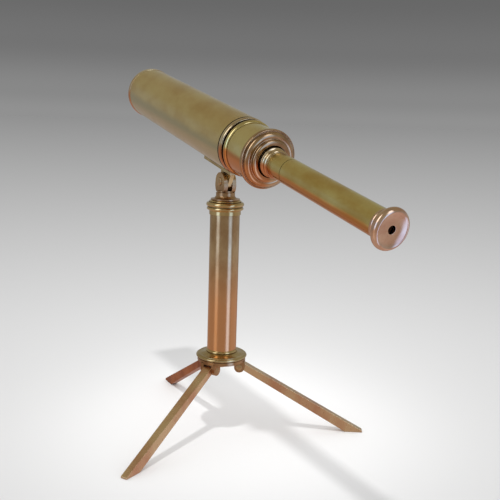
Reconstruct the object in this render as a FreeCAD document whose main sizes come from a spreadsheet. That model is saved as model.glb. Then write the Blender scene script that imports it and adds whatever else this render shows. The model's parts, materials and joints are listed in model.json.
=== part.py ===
"""Brass table telescope on a pillar with three folding legs.

Frame: millimetres, +Z up, origin where the pillar's axis meets the floor,
+Y the way the object glass looks, +X to the right of a person at the eyepiece.
"""
import FreeCAD, Part
import math
import os
import re
import Sketcher

VECTOR = FreeCAD.Vector
X_AXIS = VECTOR(1, 0, 0)
Z_AXIS = VECTOR(0, 0, 1)
THROUGH = "400"

# Alias, value in millimetres (or degrees), what it measures.
SIZES = [
    # Stand: legs and their hinges
    ("foot_radius", 135.5, "pillar axis to the tip of a foot"),
    ("foot_length", 16.3, "flat under a foot, along the leg"),
    ("foot_nose", 1.6, "height of the blunt tip of a foot"),
    ("foot_width", 6.4, "leg width at the foot"),
    ("leg_width", 8.4, "leg width at the hinge"),
    ("leg_belly", 1.6, "underside of the leg below the hinge axis"),
    ("hinge_radius", 17.5, "pillar axis to a leg's hinge axis"),
    ("hinge_height", 60.3, "floor to the hinge axes"),
    ("eye_radius", 4.8, "round eye at the top of a leg"),
    ("heel_length", 1.1, "flat heel of the leg that bears on the base"),
    ("heel_gap", 0.1, "leg eye to the base above it"),
    ("lug_thickness", 3.4, "each ear of a leg bracket"),
    ("lug_gap", 0.12, "play each side of a leg in its bracket"),
    ("hinge_pin", 1.7, "radius of a hinge pin"),
    ("pin_play", 0.05, "radial play of a leg on its pin"),
    ("rivet_step", 1.0, "riveted end of a hinge pin, beyond the pin's radius"),
    ("rivet_height", 0.35, "how far a riveted end stands out"),
    ("leg_yaw", -2.75, "degrees from the barrel's line to the front leg"),
    ("fold_clearance", 0.3, "room between parts that fold past each other"),
    # Stand: base and pillar
    ("bracket_rim", 0.15, "lower plate of the base, beyond the leg eyes"),
    ("bracket_thickness", 3.9, "its thickness"),
    ("bracket_bevel", 0.6, "bevel round its underside"),
    ("bracket_slope", 0.9, "width of the slope round its top"),
    ("bracket_slope_height", 0.7, "height of that slope"),
    ("base_rim", 1.1, "moulded base disc, beyond the lower plate"),
    ("base_thickness", 2.8, "its thickness at the edge"),
    ("base_dome", 2.3, "rise of its top from the edge to the foot of the pillar"),
    ("base_step", 0.5, "step inside its round edge, up to the dome"),
    ("base_edge", 1.3, "round upper edge of the base disc"),
    ("base_lip", 0.2, "how far its edge leans in towards the plate"),
    ("base_lip_height", 0.5, "height of the slope up to that edge"),
    ("base_round", 0.7, "curve of the edge above the slope"),
    ("pillar_radius", 13.6, "outside of the pillar tube"),
    ("pillar_wall", 1.5, "its wall"),
    ("pillar_length", 128.8, "its length above the base disc"),
    ("foot_ring_step", 0.5, "foot of the bead round the pillar, beyond the pillar"),
    ("foot_ring_rise", 0.65, "how far the bead stands out of its foot"),
    ("foot_ring_height", 2.1, "height of the bead"),
    ("foot_ring_slope", 0.5, "height of the slope above it"),
    ("plug_length", 14.0, "turned plugs in the ends of the pillar"),
    ("tie_radius", 4.0, "tie screw through the base"),
    ("tie_end", 1.0, "tie screw below its nut"),
    ("tie_nut_radius", 7.2, "nut under the base, across its corners"),
    ("tie_nut_height", 4.5, "its height"),
    ("washer_radius", 9.0, "washer under the base"),
    ("washer_height", 1.0, "thickness of the washers"),
    # Pillar head and the swivel that turns in it; a step is how far a moulding stands out of the pillar
    ("band_step", 0.8, "plain band at the foot of the pillar head"),
    ("band_height", 4.2, "its height"),
    ("band_slope", 0.6, "height of the slope above the band"),
    ("valley_step", 2.0, "grooves beside the beads"),
    ("valley_width", 0.2, "width of the groove between the beads"),
    ("lower_bead_step", 3.1, "lower bead of the pillar head"),
    ("lower_bead_height", 2.9, "its height"),
    ("upper_bead_step", 3.65, "upper bead of the pillar head"),
    ("upper_bead_height", 4.3, "its height"),
    ("crown_gap", 0.4, "groove between the upper bead and the crown ring"),
    ("crown_step", 1.2, "ring on top of the pillar head"),
    ("crown_height", 1.5, "its height"),
    ("crown_slope", 0.9, "width of the slope under the ring"),
    ("crown_slope_height", 0.5, "height of that slope"),
    ("crown_round", 0.5, "round edge of the ring"),
    ("crown_draft", 0.2, "how far the top of that edge leans in"),
    ("stem_radius", 4.0, "swivel stem"),
    ("stem_end", 6.0, "swivel stem below the pillar head"),
    ("swivel_nut_height", 4.0, "nut on the swivel stem"),
    ("swivel_nut_wall", 3.6, "its wall"),
    ("swivel_washer_margin", 1.5, "washer above it to the pillar's bore"),
    ("turning_gap", 0.06, "radial play of the stem and gap under the flange"),
    ("flange_inset", 0.4, "flange of the swivel, inside the pillar's outside"),
    ("flange_edge", 1.1, "thickness of its rim"),
    ("flange_shelf", 0.3, "pillar head's top under the rim, inside its edge"),
    ("flare_height", 2.6, "height of the flare from the flange to the neck"),
    ("flare_curve", 0.9, "radius of the flare as a share of its width"),
    ("neck_radius", 8.7, "neck of the swivel"),
    ("neck_groove", 0.9, "depth of the groove round the top of the neck"),
    ("neck_slope", 0.5, "height of the slope down into the groove"),
    ("neck_top", 1.6, "top of the neck below the floor of the fork's slot"),
    # Knuckle
    ("pivot_rise", 16.6, "top of the pillar head to the tilt axis"),
    ("cheek_radius", 8.3, "round cheeks of the fork"),
    ("cheek_thickness", 3.9, "each cheek"),
    ("cheek_foot", 6.6, "half the width of a cheek's foot"),
    ("cheek_curve", 1.3, "radius of a cheek's sides as a share of the cheek's"),
    ("tongue_inset", 0.2, "round end of the saddle's tongue, inside the cheeks"),
    ("tongue_thickness", 3.9, "the tongue between the cheeks"),
    ("tongue_margin", 1.0, "tongue's root, ahead of the bar's rear end"),
    ("knuckle_washer", 0.25, "friction washer each side of the tongue"),
    ("knuckle_washer_margin", 1.0, "its edge inside the cheeks"),
    ("washer_gap", 0.05, "gap beside a friction washer"),
    ("pivot_screw", 2.2, "radius of the tilt screw"),
    ("screw_play", 0.05, "radial play of the tongue on the screw"),
    ("boss_step", 1.5, "domed head and nut of the tilt screw, beyond the screw"),
    ("boss_height", 1.0, "how far they stand out"),
    ("boss_dome", 0.4, "depth of their domes"),
    ("boss_slope", 0.3, "width of the slope round a dome"),
    ("tilt_angle", 12.85, "degrees, the barrel above level"),
    # Saddle under the barrel
    ("saddle_width", 6.8, "saddle bar"),
    ("saddle_front", 41.0, "front end, ahead of the tilt axis"),
    ("saddle_back", 12.0, "rear end, behind the tilt axis"),
    ("saddle_drop", 4.5, "barrel's underside to the bar's underside"),
    ("bar_clearance", 1.2, "bar's underside to the round cheeks"),
    ("seat_gap", 0.03, "gap under the barrel"),
    ("strip_thickness", 1.6, "backing strip inside the barrel"),
    ("strip_width", 12.0, "its width"),
    ("strip_length", 28.0, "its length"),
    ("saddle_screw", 1.5, "radius of the saddle screws"),
    ("screw_head_step", 1.1, "their heads, beyond the screws"),
    ("screw_head_height", 1.4, "height of their heads"),
    ("screw_first", 17.0, "first saddle screw, ahead of the tilt axis"),
    ("screw_second", 30.0, "second saddle screw"),
    # Barrel; stations run along its axis from above the tilt axis
    ("barrel_radius", 25.4, "outside of the barrel tube"),
    ("barrel_wall", 1.0, "its wall"),
    ("barrel_front", 184.9, "front end of the tube"),
    ("barrel_back", -22.9, "rear end of the tube"),
    ("bezel_step", 0.4, "rim round the object glass, beyond the tube"),
    ("bezel_height", 4.85, "its length"),
    ("bezel_round", 0.5, "its round outer edge"),
    ("bezel_overlap", 1.2, "how far its opening covers the glass"),
    ("bezel_bevel", 2.2, "depth of the bevel round the opening"),
    ("bezel_spigot", 3.2, "spigot of the rim inside the cell"),
    ("cell_wall", 1.45, "object glass cell in the front of the tube"),
    ("cell_back", 4.8, "cell behind the seat of the glass"),
    ("glass_gap", 0.1, "radial gap round every glass"),
    ("glass_play", 0.3, "gap between the object glass and the rim's spigot"),
    ("flint_edge", 4.8, "thickness of the flint glass at its edge"),
    ("crown_edge", 3.8, "thickness of the crown glass at its edge"),
    ("inner_sag", 2.2, "depth of the curve between the two glasses"),
    ("outer_sag", 1.5, "depth of the front curve"),
    ("stop_station", 92.0, "glare stop inside the barrel"),
    ("stop_opening", 16.0, "radius of its opening"),
    ("stop_length", 6.0, "its length"),
    ("stop_wall", 1.15, "its wall"),
    ("stop_plate", 0.8, "thickness of the plate with the opening"),
    ("slip_gap", 0.05, "radial gap of one tube slipped into another"),
    # Tail of the barrel
    ("bead_step", 0.15, "bead at the rear end of the barrel, beyond the tube"),
    ("bead_foot", 0.5, "foot of that bead, inside the tube's outside"),
    ("bead_length", 4.7, "its length"),
    ("groove_length", 2.3, "groove behind it"),
    ("groove_depth", 1.0, "depth of the groove"),
    ("spigot_length", 11.0, "spigots that hold the tail together"),
    ("spigot_wall", 1.2, "their wall"),
    ("tail_inset", 2.1, "tail collar, inside the barrel's outside"),
    ("tail_wall", 1.6, "its wall"),
    ("tail_length", 23.4, "its length behind its bead"),
    ("second_bead_step", 1.6, "bead at the front of the tail collar, beyond the collar"),
    ("second_bead_length", 5.5, "its length"),
    ("tail_flange_step", 2.05, "rim of the tail flange, beyond the collar"),
    ("tail_flange_length", 5.84, "its length, with the slope in front of it"),
    ("rim_slope", 2.6, "slope from the collar up to the rim"),
    ("rim_slope_rise", 0.2, "how far the slope starts out of the collar"),
    ("rim_bevel", 0.6, "bevel at the front of the rim"),
    ("rim_round", 0.4, "round rear edge of the rim"),
    ("rim_width", 1.85, "face of the rim"),
    ("rim_lean", 0.2, "how far the step inside the rim leans in"),
    ("step_depth", 0.9, "how far that step stands behind the rim"),
    ("ogee_curve", 0.9605, "radius of the swelling inside the step as a share of its chord"),
    ("ogee_start", 3.2, "how far the swelling's inner end stands behind the rim"),
    ("lip_share", 0.42, "raised ring round the mouth, as a share of the face inside the step"),
    ("lip_round", 1.6, "round edge of the ring, and the hollow outside it"),
    ("lip_draft", 0.3, "how far the ring's side leans out"),
    ("lip_side", 3.6, "foot of the ring's side, behind the rim"),
    ("mouth_gap", 1.5, "mouth of the flange to the guide in it"),
    ("mouth_round", 0.8, "round edge of the mouth"),
    ("mouth_depth", 6.7, "how far the mouth stands behind the rim"),
    ("mouth_bevel", 1.0, "length of the bevel at the mouth's inner end"),
    ("flange_recess", 1.5, "recess in front of the flange"),
    ("flange_land", 2.0, "width of the land round that recess"),
    ("flange_plate", 7.0, "flange's spigot in the collar"),
    # Draw tube, its guide and the eyepiece
    ("draw_radius", 10.7, "outside of the draw tube"),
    ("draw_wall", 0.8, "its wall"),
    ("draw_length", 177.4, "its length"),
    ("draw_inside", 8.0, "its front end, ahead of the guide"),
    ("slide_play", 0.06, "radial play of the draw tube in its guide"),
    ("guide_wall", 1.24, "wall of the guide"),
    ("guide_inside", 14.8, "front end of the guide, ahead of the tail flange"),
    ("guide_plate", 2.5, "thickness of the plate that holds the guide"),
    ("guide_rim_step", 0.55, "thin rim of the guide's end ring, beyond the guide"),
    ("guide_rim_depth", 9.26, "back of that rim, behind the flange's rim"),
    ("guide_rim_width", 1.0, "width of the rim"),
    ("guide_rim_slope", 0.6, "length of the slopes beside the rim"),
    ("guide_end_length", 6.9, "guide behind that rim"),
    ("guide_end_inset", 0.9, "its end, inside the guide's outside"),
    ("guide_end_band", 1.2, "plain band at its end"),
    ("guide_bead_length", 3.2, "bead ahead of that band"),
    ("guide_bead_curve", 1.8, "curve of the bead"),
    ("guide_hollow_curve", 1.3, "curve of the hollow ahead of the bead"),
    ("draw_stop_step", 2.3, "stop ring at the front of the draw tube, beyond the tube"),
    ("draw_stop_length", 5.0, "its length"),
    ("draw_stop_wall", 0.95, "wall of its spigot"),
    ("draw_stop_spigot", 4.0, "length of its spigot"),
    ("cartridge_gap", 0.1, "radial gap of the lens tubes inside the draw tube"),
    ("cartridge_wall", 0.7, "their wall"),
    ("erector_inset", 8.0, "front end of the erecting lens tube, inside the draw tube"),
    ("erector_length", 72.0, "its length"),
    ("field_tube_length", 37.4, "length of the eyepiece lens tube"),
    ("field_tube_inset", 4.0, "its rear end, inside the draw tube"),
    ("glass_inset", 5.0, "small glasses, in from the ends of their tubes"),
    ("field_stop_inset", 24.0, "field stop behind the front of the eyepiece lens tube"),
    ("field_stop_plate", 0.8, "its thickness"),
    ("field_stop_opening", 5.0, "radius of its opening"),
    ("small_glass_edge", 1.2, "edge thickness of the small glasses"),
    ("small_glass_sag", 1.4, "depth of their curves"),
    ("lens_ring_length", 2.4, "rings that hold the small glasses"),
    ("lens_ring_wall", 1.15, "their wall"),
    ("collar_bead_step", 0.8, "bead in front of the eyecap, beyond the draw tube"),
    ("collar_bead_length", 3.3, "its length"),
    ("cove_step", 0.2, "cove between the bead and the eyecap, beyond the draw tube"),
    ("cove_length", 2.4, "its length"),
    ("cove_curve", 0.75, "curve of the cove as a share of its length"),
    ("cap_step", 4.35, "eyecap, beyond the draw tube"),
    ("cap_length", 6.5, "its length"),
    ("cap_round", 3.4, "curve of its edge, front and back"),
    ("cap_shoulder", 3.0, "how far its front curve runs in"),
    ("dish_rim", 2.85, "dished face of the eyecap, inside its edge"),
    ("dish_depth", 1.5, "depth of the dish at its middle"),
    ("dish_curve", 40.0, "curve of the dish"),
    ("eye_hole", 3.1, "radius of the eye hole"),
    ("cap_wall", 1.8, "wall of the eyecap behind its face"),
]

doc = FreeCAD.newDocument("table_telescope")
sheet = doc.addObject("Spreadsheet::Sheet", "Sizes")
for row, (alias, size, meaning) in enumerate(SIZES, start=1):
    sheet.set(f"A{row}", alias)
    sheet.set(f"B{row}", str(size))
    sheet.set(f"C{row}", meaning)
    sheet.setAlias(f"B{row}", alias)
doc.recompute()

# Cutting outlines run this far past the metal, and padded ones this far into it.
PAST = "1"
# A rounded corner's radius over its width: a little over one, so that the arc always spans the corner.
ROUND = "1.02"

# Levels of the stand and sizes across it that follow from the sheet, as formulas of its aliases.
BASE_UNDER = "(hinge_height + eye_radius + heel_gap)"
BRACKET_TOP = f"({BASE_UNDER} + bracket_thickness)"
BASE_EDGE = f"({BRACKET_TOP} + base_thickness)"
BASE_TOP = f"({BASE_EDGE} + base_dome)"
PILLAR_TOP = f"({BASE_TOP} + pillar_length)"
LOWER_BEAD = f"({PILLAR_TOP} + band_height)"
UPPER_BEAD = f"({LOWER_BEAD} + lower_bead_height)"
CROWN = f"({UPPER_BEAD} + upper_bead_height + crown_gap)"
HEAD_TOP = f"({CROWN} + crown_height)"
HEAD_UNDER = f"({PILLAR_TOP} - plug_length)"
SWIVEL_UNDER = f"({HEAD_TOP} + turning_gap)"
PIVOT_HEIGHT = f"({HEAD_TOP} + pivot_rise)"
BRACKET_RADIUS = "(hinge_radius + eye_radius + bracket_rim)"
BASE_RADIUS = f"({BRACKET_RADIUS} + base_rim)"
RIVET_RADIUS = "(hinge_pin + rivet_step)"
LUG_SLOT = "(leg_width + 2 * lug_gap)"
LUG_WIDTH = f"({LUG_SLOT} + 2 * lug_thickness)"
PILLAR_BORE = "(pillar_radius - pillar_wall)"
FOOT_RING = "(pillar_radius + foot_ring_step)"
BAND_RADIUS = "(pillar_radius + band_step)"
VALLEY_RADIUS = "(pillar_radius + valley_step)"
CROWN_RADIUS = "(pillar_radius + crown_step)"
FLANGE_RADIUS = "(pillar_radius - flange_inset)"

# Knuckle; heights under the barrel are measured up from the tilt axis.
TONGUE_RADIUS = "(cheek_radius - tongue_inset)"
SLOT_FLOOR = f"({PIVOT_HEIGHT} - {TONGUE_RADIUS} - fold_clearance)"
SLOT_WIDTH = "(tongue_thickness + 2 * knuckle_washer + 2 * washer_gap)"
FORK_WIDTH = f"({SLOT_WIDTH} + 2 * cheek_thickness)"
BOSS_RADIUS = "(pivot_screw + boss_step)"
BOSS_EDGE = f"({BOSS_RADIUS} - boss_slope)"
BAR_UNDER = "(cheek_radius + bar_clearance)"
BARREL_UNDER = f"({BAR_UNDER} + saddle_drop)"
AXIS_RISE = f"({BARREL_UNDER} + barrel_radius)"

# Stations along the barrel and radii about its axis.
BARREL_BORE = "(barrel_radius - barrel_wall)"
GLASS_RADIUS = f"({BARREL_BORE} - slip_gap - cell_wall - glass_gap)"
BEZEL_LIP = f"({GLASS_RADIUS} - bezel_overlap)"
LENS_SEAT = "(barrel_front - bezel_spigot - glass_play - crown_edge - flint_edge)"
GROOVE_START = "(barrel_back - bead_length)"
COLLAR_START = f"({GROOVE_START} - groove_length)"
TAIL_START = f"({COLLAR_START} - second_bead_length)"
FLANGE_FRONT = f"({TAIL_START} - tail_length)"
FLANGE_BACK = f"({FLANGE_FRONT} - tail_flange_length)"
TAIL_RADIUS = "(barrel_radius - tail_inset)"
TAIL_BORE = f"({TAIL_RADIUS} - tail_wall)"
RIM_RADIUS = f"({TAIL_RADIUS} + tail_flange_step)"
GUIDE_BORE = "(draw_radius + slide_play)"
GUIDE_RADIUS = f"({GUIDE_BORE} + guide_wall)"
GUIDE_RIM = f"({FLANGE_BACK} - guide_rim_depth)"
GUIDE_BACK = f"({GUIDE_RIM} - guide_end_length)"
GUIDE_FRONT = f"({FLANGE_FRONT} + guide_inside)"
DRAW_FRONT = f"({GUIDE_FRONT} + draw_inside)"
DRAW_BACK = f"({DRAW_FRONT} - draw_length)"
DRAW_BORE = "(draw_radius - draw_wall)"
CARTRIDGE_RADIUS = f"({DRAW_BORE} - cartridge_gap)"
CARTRIDGE_BORE = f"({CARTRIDGE_RADIUS} - cartridge_wall)"
SMALL_GLASS = f"({CARTRIDGE_BORE} - glass_gap)"
COLLAR_END = f"({DRAW_BACK} - collar_bead_length)"
CAP_START = f"({COLLAR_END} - cove_length)"
CAP_END = f"({CAP_START} - cap_length)"
CAP_RADIUS = "(draw_radius + cap_step)"


def formula(text):
    """A formula of sheet aliases, written the way an expression names them."""
    return re.sub(r"\b(?!sqrt\b)([a-z][a-z_]+)\b", r"Sizes.\1", str(text))


def value(text):
    """The number that a formula of sheet aliases has now."""
    return float(sheet.evalExpression(formula(text)))


def bind(target, name, text):
    """Binds a property or a named constraint to a formula."""
    target.setExpression(name, formula(text))


def new_body(label):
    body = doc.addObject("PartDesign::Body", label)
    body.Label = label
    return body


def new_sketch(body, role):
    """An empty sketch on one of the body's own origin planes."""
    plane = [item for item in body.Origin.OriginFeatures if item.Role == role][0]
    sketch = body.newObject("Sketcher::SketchObject", body.Label + "_sketch")
    sketch.AttachmentSupport = [(plane, "")]
    sketch.MapMode = "FlatFace"
    return sketch


def fix_point(sketch, geometry, point, first, second):
    """Dimensions a point from the sketch's origin."""
    for kind, text, axis in (("DistanceX", first, -2), ("DistanceY", second, -1)):
        size = value(text)
        if abs(size) < 1e-9:
            sketch.addConstraint(Sketcher.Constraint("PointOnObject", geometry, point, axis))
            continue
        index = sketch.addConstraint(Sketcher.Constraint(kind, -1, 1, geometry, point, size))
        name = f"size_{index}"
        sketch.renameConstraint(index, name)
        bind(sketch, "Constraints." + name, text)


def arc_between(start, stop, radius, side):
    """The short arc from start to stop; side 1 has its centre on the left, -1 on the right."""
    chord = stop - start
    middle = (start + stop) * 0.5
    left = VECTOR(-chord.y, chord.x, 0).normalize()
    centre = middle + left * side * math.sqrt(max(radius ** 2 - (chord.Length / 2) ** 2, 0))
    first, last = (start, stop) if side > 0 else (stop, start)
    first_angle = math.atan2(first.y - centre.y, first.x - centre.x)
    last_angle = math.atan2(last.y - centre.y, last.x - centre.x)
    return Part.ArcOfCircle(Part.Circle(centre, Z_AXIS, radius), first_angle, last_angle)


def draw_outline(sketch, outline):
    """Draws a closed outline. Each item is the corner that its edge arrives at:
    (across, up) after a straight edge, (across, up, radius, side) after an arc."""
    corners = [VECTOR(value(item[0]), value(item[1]), 0) for item in outline]
    edges = []
    for index, item in enumerate(outline):
        start = corners[index - 1]
        stop = corners[index]
        if len(item) == 2:
            geometry = sketch.addGeometry(Part.LineSegment(start, stop), False)
            edges.append((geometry, 1, 2))
            continue
        radius = value(item[2])
        geometry = sketch.addGeometry(arc_between(start, stop, radius, item[3]), False)
        edges.append((geometry, 1, 2) if item[3] > 0 else (geometry, 2, 1))
    for index, (geometry, first, last) in enumerate(edges):
        before = edges[index - 1]
        sketch.addConstraint(Sketcher.Constraint("Coincident", before[0], before[2], geometry, first))
    for (geometry, first, last), item in zip(edges, outline):
        fix_point(sketch, geometry, last, item[0], item[1])
        if len(item) == 4:
            index = sketch.addConstraint(Sketcher.Constraint("Radius", geometry, value(item[2])))
            sketch.renameConstraint(index, f"size_{index}")
            bind(sketch, f"Constraints.size_{index}", item[2])


def draw_circle(sketch, across, up, radius):
    """Draws a circle with a dimensioned centre and radius."""
    circle = Part.Circle(VECTOR(value(across), value(up), 0), Z_AXIS, value(radius))
    geometry = sketch.addGeometry(circle, False)
    fix_point(sketch, geometry, 3, across, up)
    index = sketch.addConstraint(Sketcher.Constraint("Radius", geometry, value(radius)))
    sketch.renameConstraint(index, f"size_{index}")
    bind(sketch, f"Constraints.size_{index}", radius)


def turn(body, outline):
    """Turns a half section, drawn as (radius, height), round the body's Z axis."""
    sketch = new_sketch(body, "XZ_Plane")
    draw_outline(sketch, outline)
    feature = body.newObject("PartDesign::Revolution", body.Label + "_turned")
    feature.Profile = sketch
    feature.ReferenceAxis = (sketch, ["V_Axis"])
    feature.Angle = 360
    doc.recompute()
    return feature


def pad(body, sketch, length, one_side=False, reverse=False):
    feature = body.newObject("PartDesign::Pad", body.Label + "_pad")
    return finish_extrusion(body, feature, sketch, length, one_side, reverse)


def cut(body, sketch, length, one_side=False, reverse=False):
    """Cuts with a sketch, and makes sure that something was cut."""
    before = body.Shape.Volume
    feature = body.newObject("PartDesign::Pocket", body.Label + "_cut")
    finish_extrusion(body, feature, sketch, length, one_side, reverse)
    if body.Shape.Volume > before - 1e-3:
        raise RuntimeError(f"{body.Label}: a cut removed nothing")
    return feature


def finish_extrusion(body, feature, sketch, length, one_side, reverse):
    """Both ways from the sketch, or one way only."""
    feature.Profile = sketch
    feature.SideType = "One side" if one_side else "Symmetric"
    feature.Reversed = reverse
    bind(feature, "Length", length)
    doc.recompute()
    return feature


def repeat_round(body, features, count):
    """Repeats features round the body's Z axis."""
    pattern = body.newObject("PartDesign::PolarPattern", body.Label + "_pattern")
    pattern.Originals = features
    axis = [item for item in body.Origin.OriginFeatures if item.Role == "Z_Axis"][0]
    pattern.Axis = (axis, [""])
    pattern.Angle = 360
    pattern.Occurrences = count
    body.Tip = pattern
    doc.recompute()
    return pattern


pieces = []


def place(piece, position=VECTOR(), rotation=FreeCAD.Rotation()):
    """Sets a finished piece in its place and keeps it for writing."""
    piece.Placement = FreeCAD.Placement(position, rotation)
    pieces.append(piece)
    return piece


def turned_piece(label, outline):
    body = new_body(label)
    turn(body, outline)
    return body


TILT = value("tilt_angle")
PIVOT = VECTOR(0, 0, value(PIVOT_HEIGHT))
TILTED = FreeCAD.Rotation(X_AXIS, TILT)
ALONG_BARREL = FreeCAD.Rotation(X_AXIS, TILT - 90)
BARREL_CENTRE = PIVOT + TILTED.multVec(VECTOR(0, 0, value(AXIS_RISE)))


def on_barrel(label, outline):
    """A piece turned about the barrel's axis, its outline drawn as (radius, station)."""
    return place(turned_piece(label, outline), BARREL_CENTRE, ALONG_BARREL)


def tube(inner, outer, low, high):
    """The half section of a plain tube."""
    return [(inner, low), (outer, low), (outer, high), (inner, high)]


def sphere_radius(half_width, sag):
    """The radius of a dome or a lens curve from its half width and its depth."""
    return f"({half_width} * {half_width} + {sag} * {sag}) / (2 * {sag})"


def bead_radius(length, rise):
    """The radius of a bead's round face from its length and how far it stands out."""
    return sphere_radius(f"({length} / 2)", rise)


# ---------------------------------------------------------------- stand
def make_leg(label, azimuth):
    """A straight bar from a round eye to a foot cut level with the floor."""
    body = new_body(label)
    bar = new_sketch(body, "XZ_Plane")
    eye_top = "(hinge_height + eye_radius)"
    draw_outline(bar, [
        ("hinge_radius", eye_top),
        ("hinge_radius + heel_length", eye_top),
        ("foot_radius", "foot_nose"),
        ("foot_radius", "0"),
        ("foot_radius - foot_length", "0"),
        ("hinge_radius", "hinge_height - leg_belly"),
    ])
    pad(body, bar, "leg_width")
    eye = new_sketch(body, "XZ_Plane")
    draw_circle(eye, "hinge_radius", "hinge_height", "eye_radius")
    pad(body, eye, "leg_width")
    hole = new_sketch(body, "XZ_Plane")
    draw_circle(hole, "hinge_radius", "hinge_height", "hinge_pin + pin_play")
    cut(body, hole, "2 * leg_width")
    sides = new_sketch(body, "XY_Plane")
    start = "hinge_radius + 2 * eye_radius"
    for side in ("", "-"):
        draw_outline(sides, [
            (start, f"{side}leg_width / 2"),
            (f"foot_radius + {PAST}", f"{side}foot_width / 2"),
            (f"foot_radius + {PAST}", f"{side}leg_width"),
            (start, f"{side}leg_width"),
        ])
    cut(body, sides, THROUGH)
    return place(body, rotation=FreeCAD.Rotation(Z_AXIS, azimuth))


def make_hinge_pin(label, azimuth):
    """A pin through a bracket's ears, riveted over at both ends."""
    half = f"({LUG_WIDTH} / 2)"
    dome = sphere_radius(RIVET_RADIUS, "rivet_height")
    body = turned_piece(label, [
        ("0", f"-{half} - rivet_height"),
        (RIVET_RADIUS, f"-{half}", dome, 1),
        ("hinge_pin", f"-{half}"),
        ("hinge_pin", half),
        (RIVET_RADIUS, half),
        ("0", f"{half} + rivet_height", dome, 1),
    ])
    around = FreeCAD.Rotation(Z_AXIS, azimuth)
    centre = around.multVec(VECTOR(value("hinge_radius"), 0, value("hinge_height")))
    return place(body, centre, around.multiply(FreeCAD.Rotation(X_AXIS, 90)))


def make_bracket_plate():
    """The lower plate of the base, with a two-eared bracket for each leg."""
    body = turned_piece("leg_bracket_plate", [
        ("tie_radius + slip_gap", BASE_UNDER),
        (f"{BRACKET_RADIUS} - bracket_bevel", BASE_UNDER),
        (BRACKET_RADIUS, f"{BASE_UNDER} + bracket_bevel"),
        (BRACKET_RADIUS, f"{BRACKET_TOP} - bracket_slope_height"),
        (f"{BRACKET_RADIUS} - bracket_slope", BRACKET_TOP),
        ("tie_radius + slip_gap", BRACKET_TOP),
    ])
    left = "hinge_radius - eye_radius"
    right = "hinge_radius + eye_radius"
    ears = new_sketch(body, "XZ_Plane")
    draw_outline(ears, [
        (left, f"{BASE_UNDER} + {PAST}"),
        (left, "hinge_height"),
        ("hinge_radius", "hinge_height - eye_radius", "eye_radius", 1),
        (right, "hinge_height", "eye_radius", 1),
        (right, f"{BASE_UNDER} + {PAST}"),
    ])
    ear_pad = pad(body, ears, LUG_WIDTH)
    slot = new_sketch(body, "XZ_Plane")
    draw_outline(slot, [
        (f"{left} - {PAST}", "hinge_height - 2 * eye_radius"),
        (f"{right} + {PAST}", "hinge_height - 2 * eye_radius"),
        (f"{right} + {PAST}", BASE_UNDER),
        (f"{left} - {PAST}", BASE_UNDER),
    ])
    ear_slot = cut(body, slot, LUG_SLOT)
    hole = new_sketch(body, "XZ_Plane")
    draw_circle(hole, "hinge_radius", "hinge_height", "hinge_pin")
    ear_hole = cut(body, hole, f"{LUG_WIDTH} + 2 * {PAST}")
    repeat_round(body, [ear_pad, ear_slot, ear_hole], 3)
    return place(body, rotation=FreeCAD.Rotation(Z_AXIS, 90 + value("leg_yaw")))


def make_nut():
    """The hexagonal nut that pulls the base up against the pillar."""
    body = new_body("tie_nut")
    sketch = new_sketch(body, "XY_Plane")
    corners = []
    for step in range(6):
        across = round(math.cos(math.radians(60 * step)), 6)
        along = round(math.sin(math.radians(60 * step)), 6)
        corners.append((f"{across} * tie_nut_radius", f"{along} * tie_nut_radius"))
    draw_outline(sketch, corners)
    draw_circle(sketch, "0", "0", "tie_radius")
    pad(body, sketch, "tie_nut_height", one_side=True)
    height = value(f"{BASE_UNDER} - washer_height - tie_nut_height")
    return place(body, VECTOR(0, 0, height))


for name, turn_angle in (("front", 0), ("left", 120), ("right", 240)):
    leg_azimuth = 90 + value("leg_yaw") + turn_angle
    make_leg("leg_" + name, leg_azimuth)
    make_hinge_pin("hinge_pin_" + name, leg_azimuth)
make_bracket_plate()
place(turned_piece("base_disc", [
    ("tie_radius + slip_gap", BRACKET_TOP),
    (BRACKET_RADIUS, BRACKET_TOP),
    (f"{BASE_RADIUS} - base_lip", f"{BRACKET_TOP} + base_lip_height"),
    (BASE_RADIUS, f"{BASE_EDGE} - base_edge", "base_round", 1),
    (f"{BASE_RADIUS} - base_edge", BASE_EDGE, f"base_edge * {ROUND}", 1),
    (f"{BASE_RADIUS} - base_edge - base_step", f"{BASE_EDGE} + base_step"),
    (FOOT_RING, BASE_TOP),
    ("tie_radius + slip_gap", BASE_TOP),
]))
place(turned_piece("tie_washer", tube(
    "tie_radius + slip_gap", "washer_radius", f"{BASE_UNDER} - washer_height", BASE_UNDER)))
make_nut()
place(turned_piece("pillar_tube", tube(PILLAR_BORE, "pillar_radius", BASE_TOP, PILLAR_TOP)))
place(turned_piece("pillar_foot_ring", [
    ("pillar_radius + slip_gap", BASE_TOP),
    (FOOT_RING, BASE_TOP),
    (FOOT_RING, f"{BASE_TOP} + foot_ring_height", bead_radius("foot_ring_height", "foot_ring_rise"), 1),
    ("pillar_radius + slip_gap", f"{BASE_TOP} + foot_ring_height + foot_ring_slope"),
]))
place(turned_piece("pillar_foot_plug", [
    ("0", f"{BASE_UNDER} - washer_height - tie_nut_height - tie_end"),
    ("tie_radius", f"{BASE_UNDER} - washer_height - tie_nut_height - tie_end"),
    ("tie_radius", BASE_TOP),
    (f"{PILLAR_BORE} - slip_gap", BASE_TOP),
    (f"{PILLAR_BORE} - slip_gap", f"{BASE_TOP} + plug_length"),
    ("0", f"{BASE_TOP} + plug_length"),
]))
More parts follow.
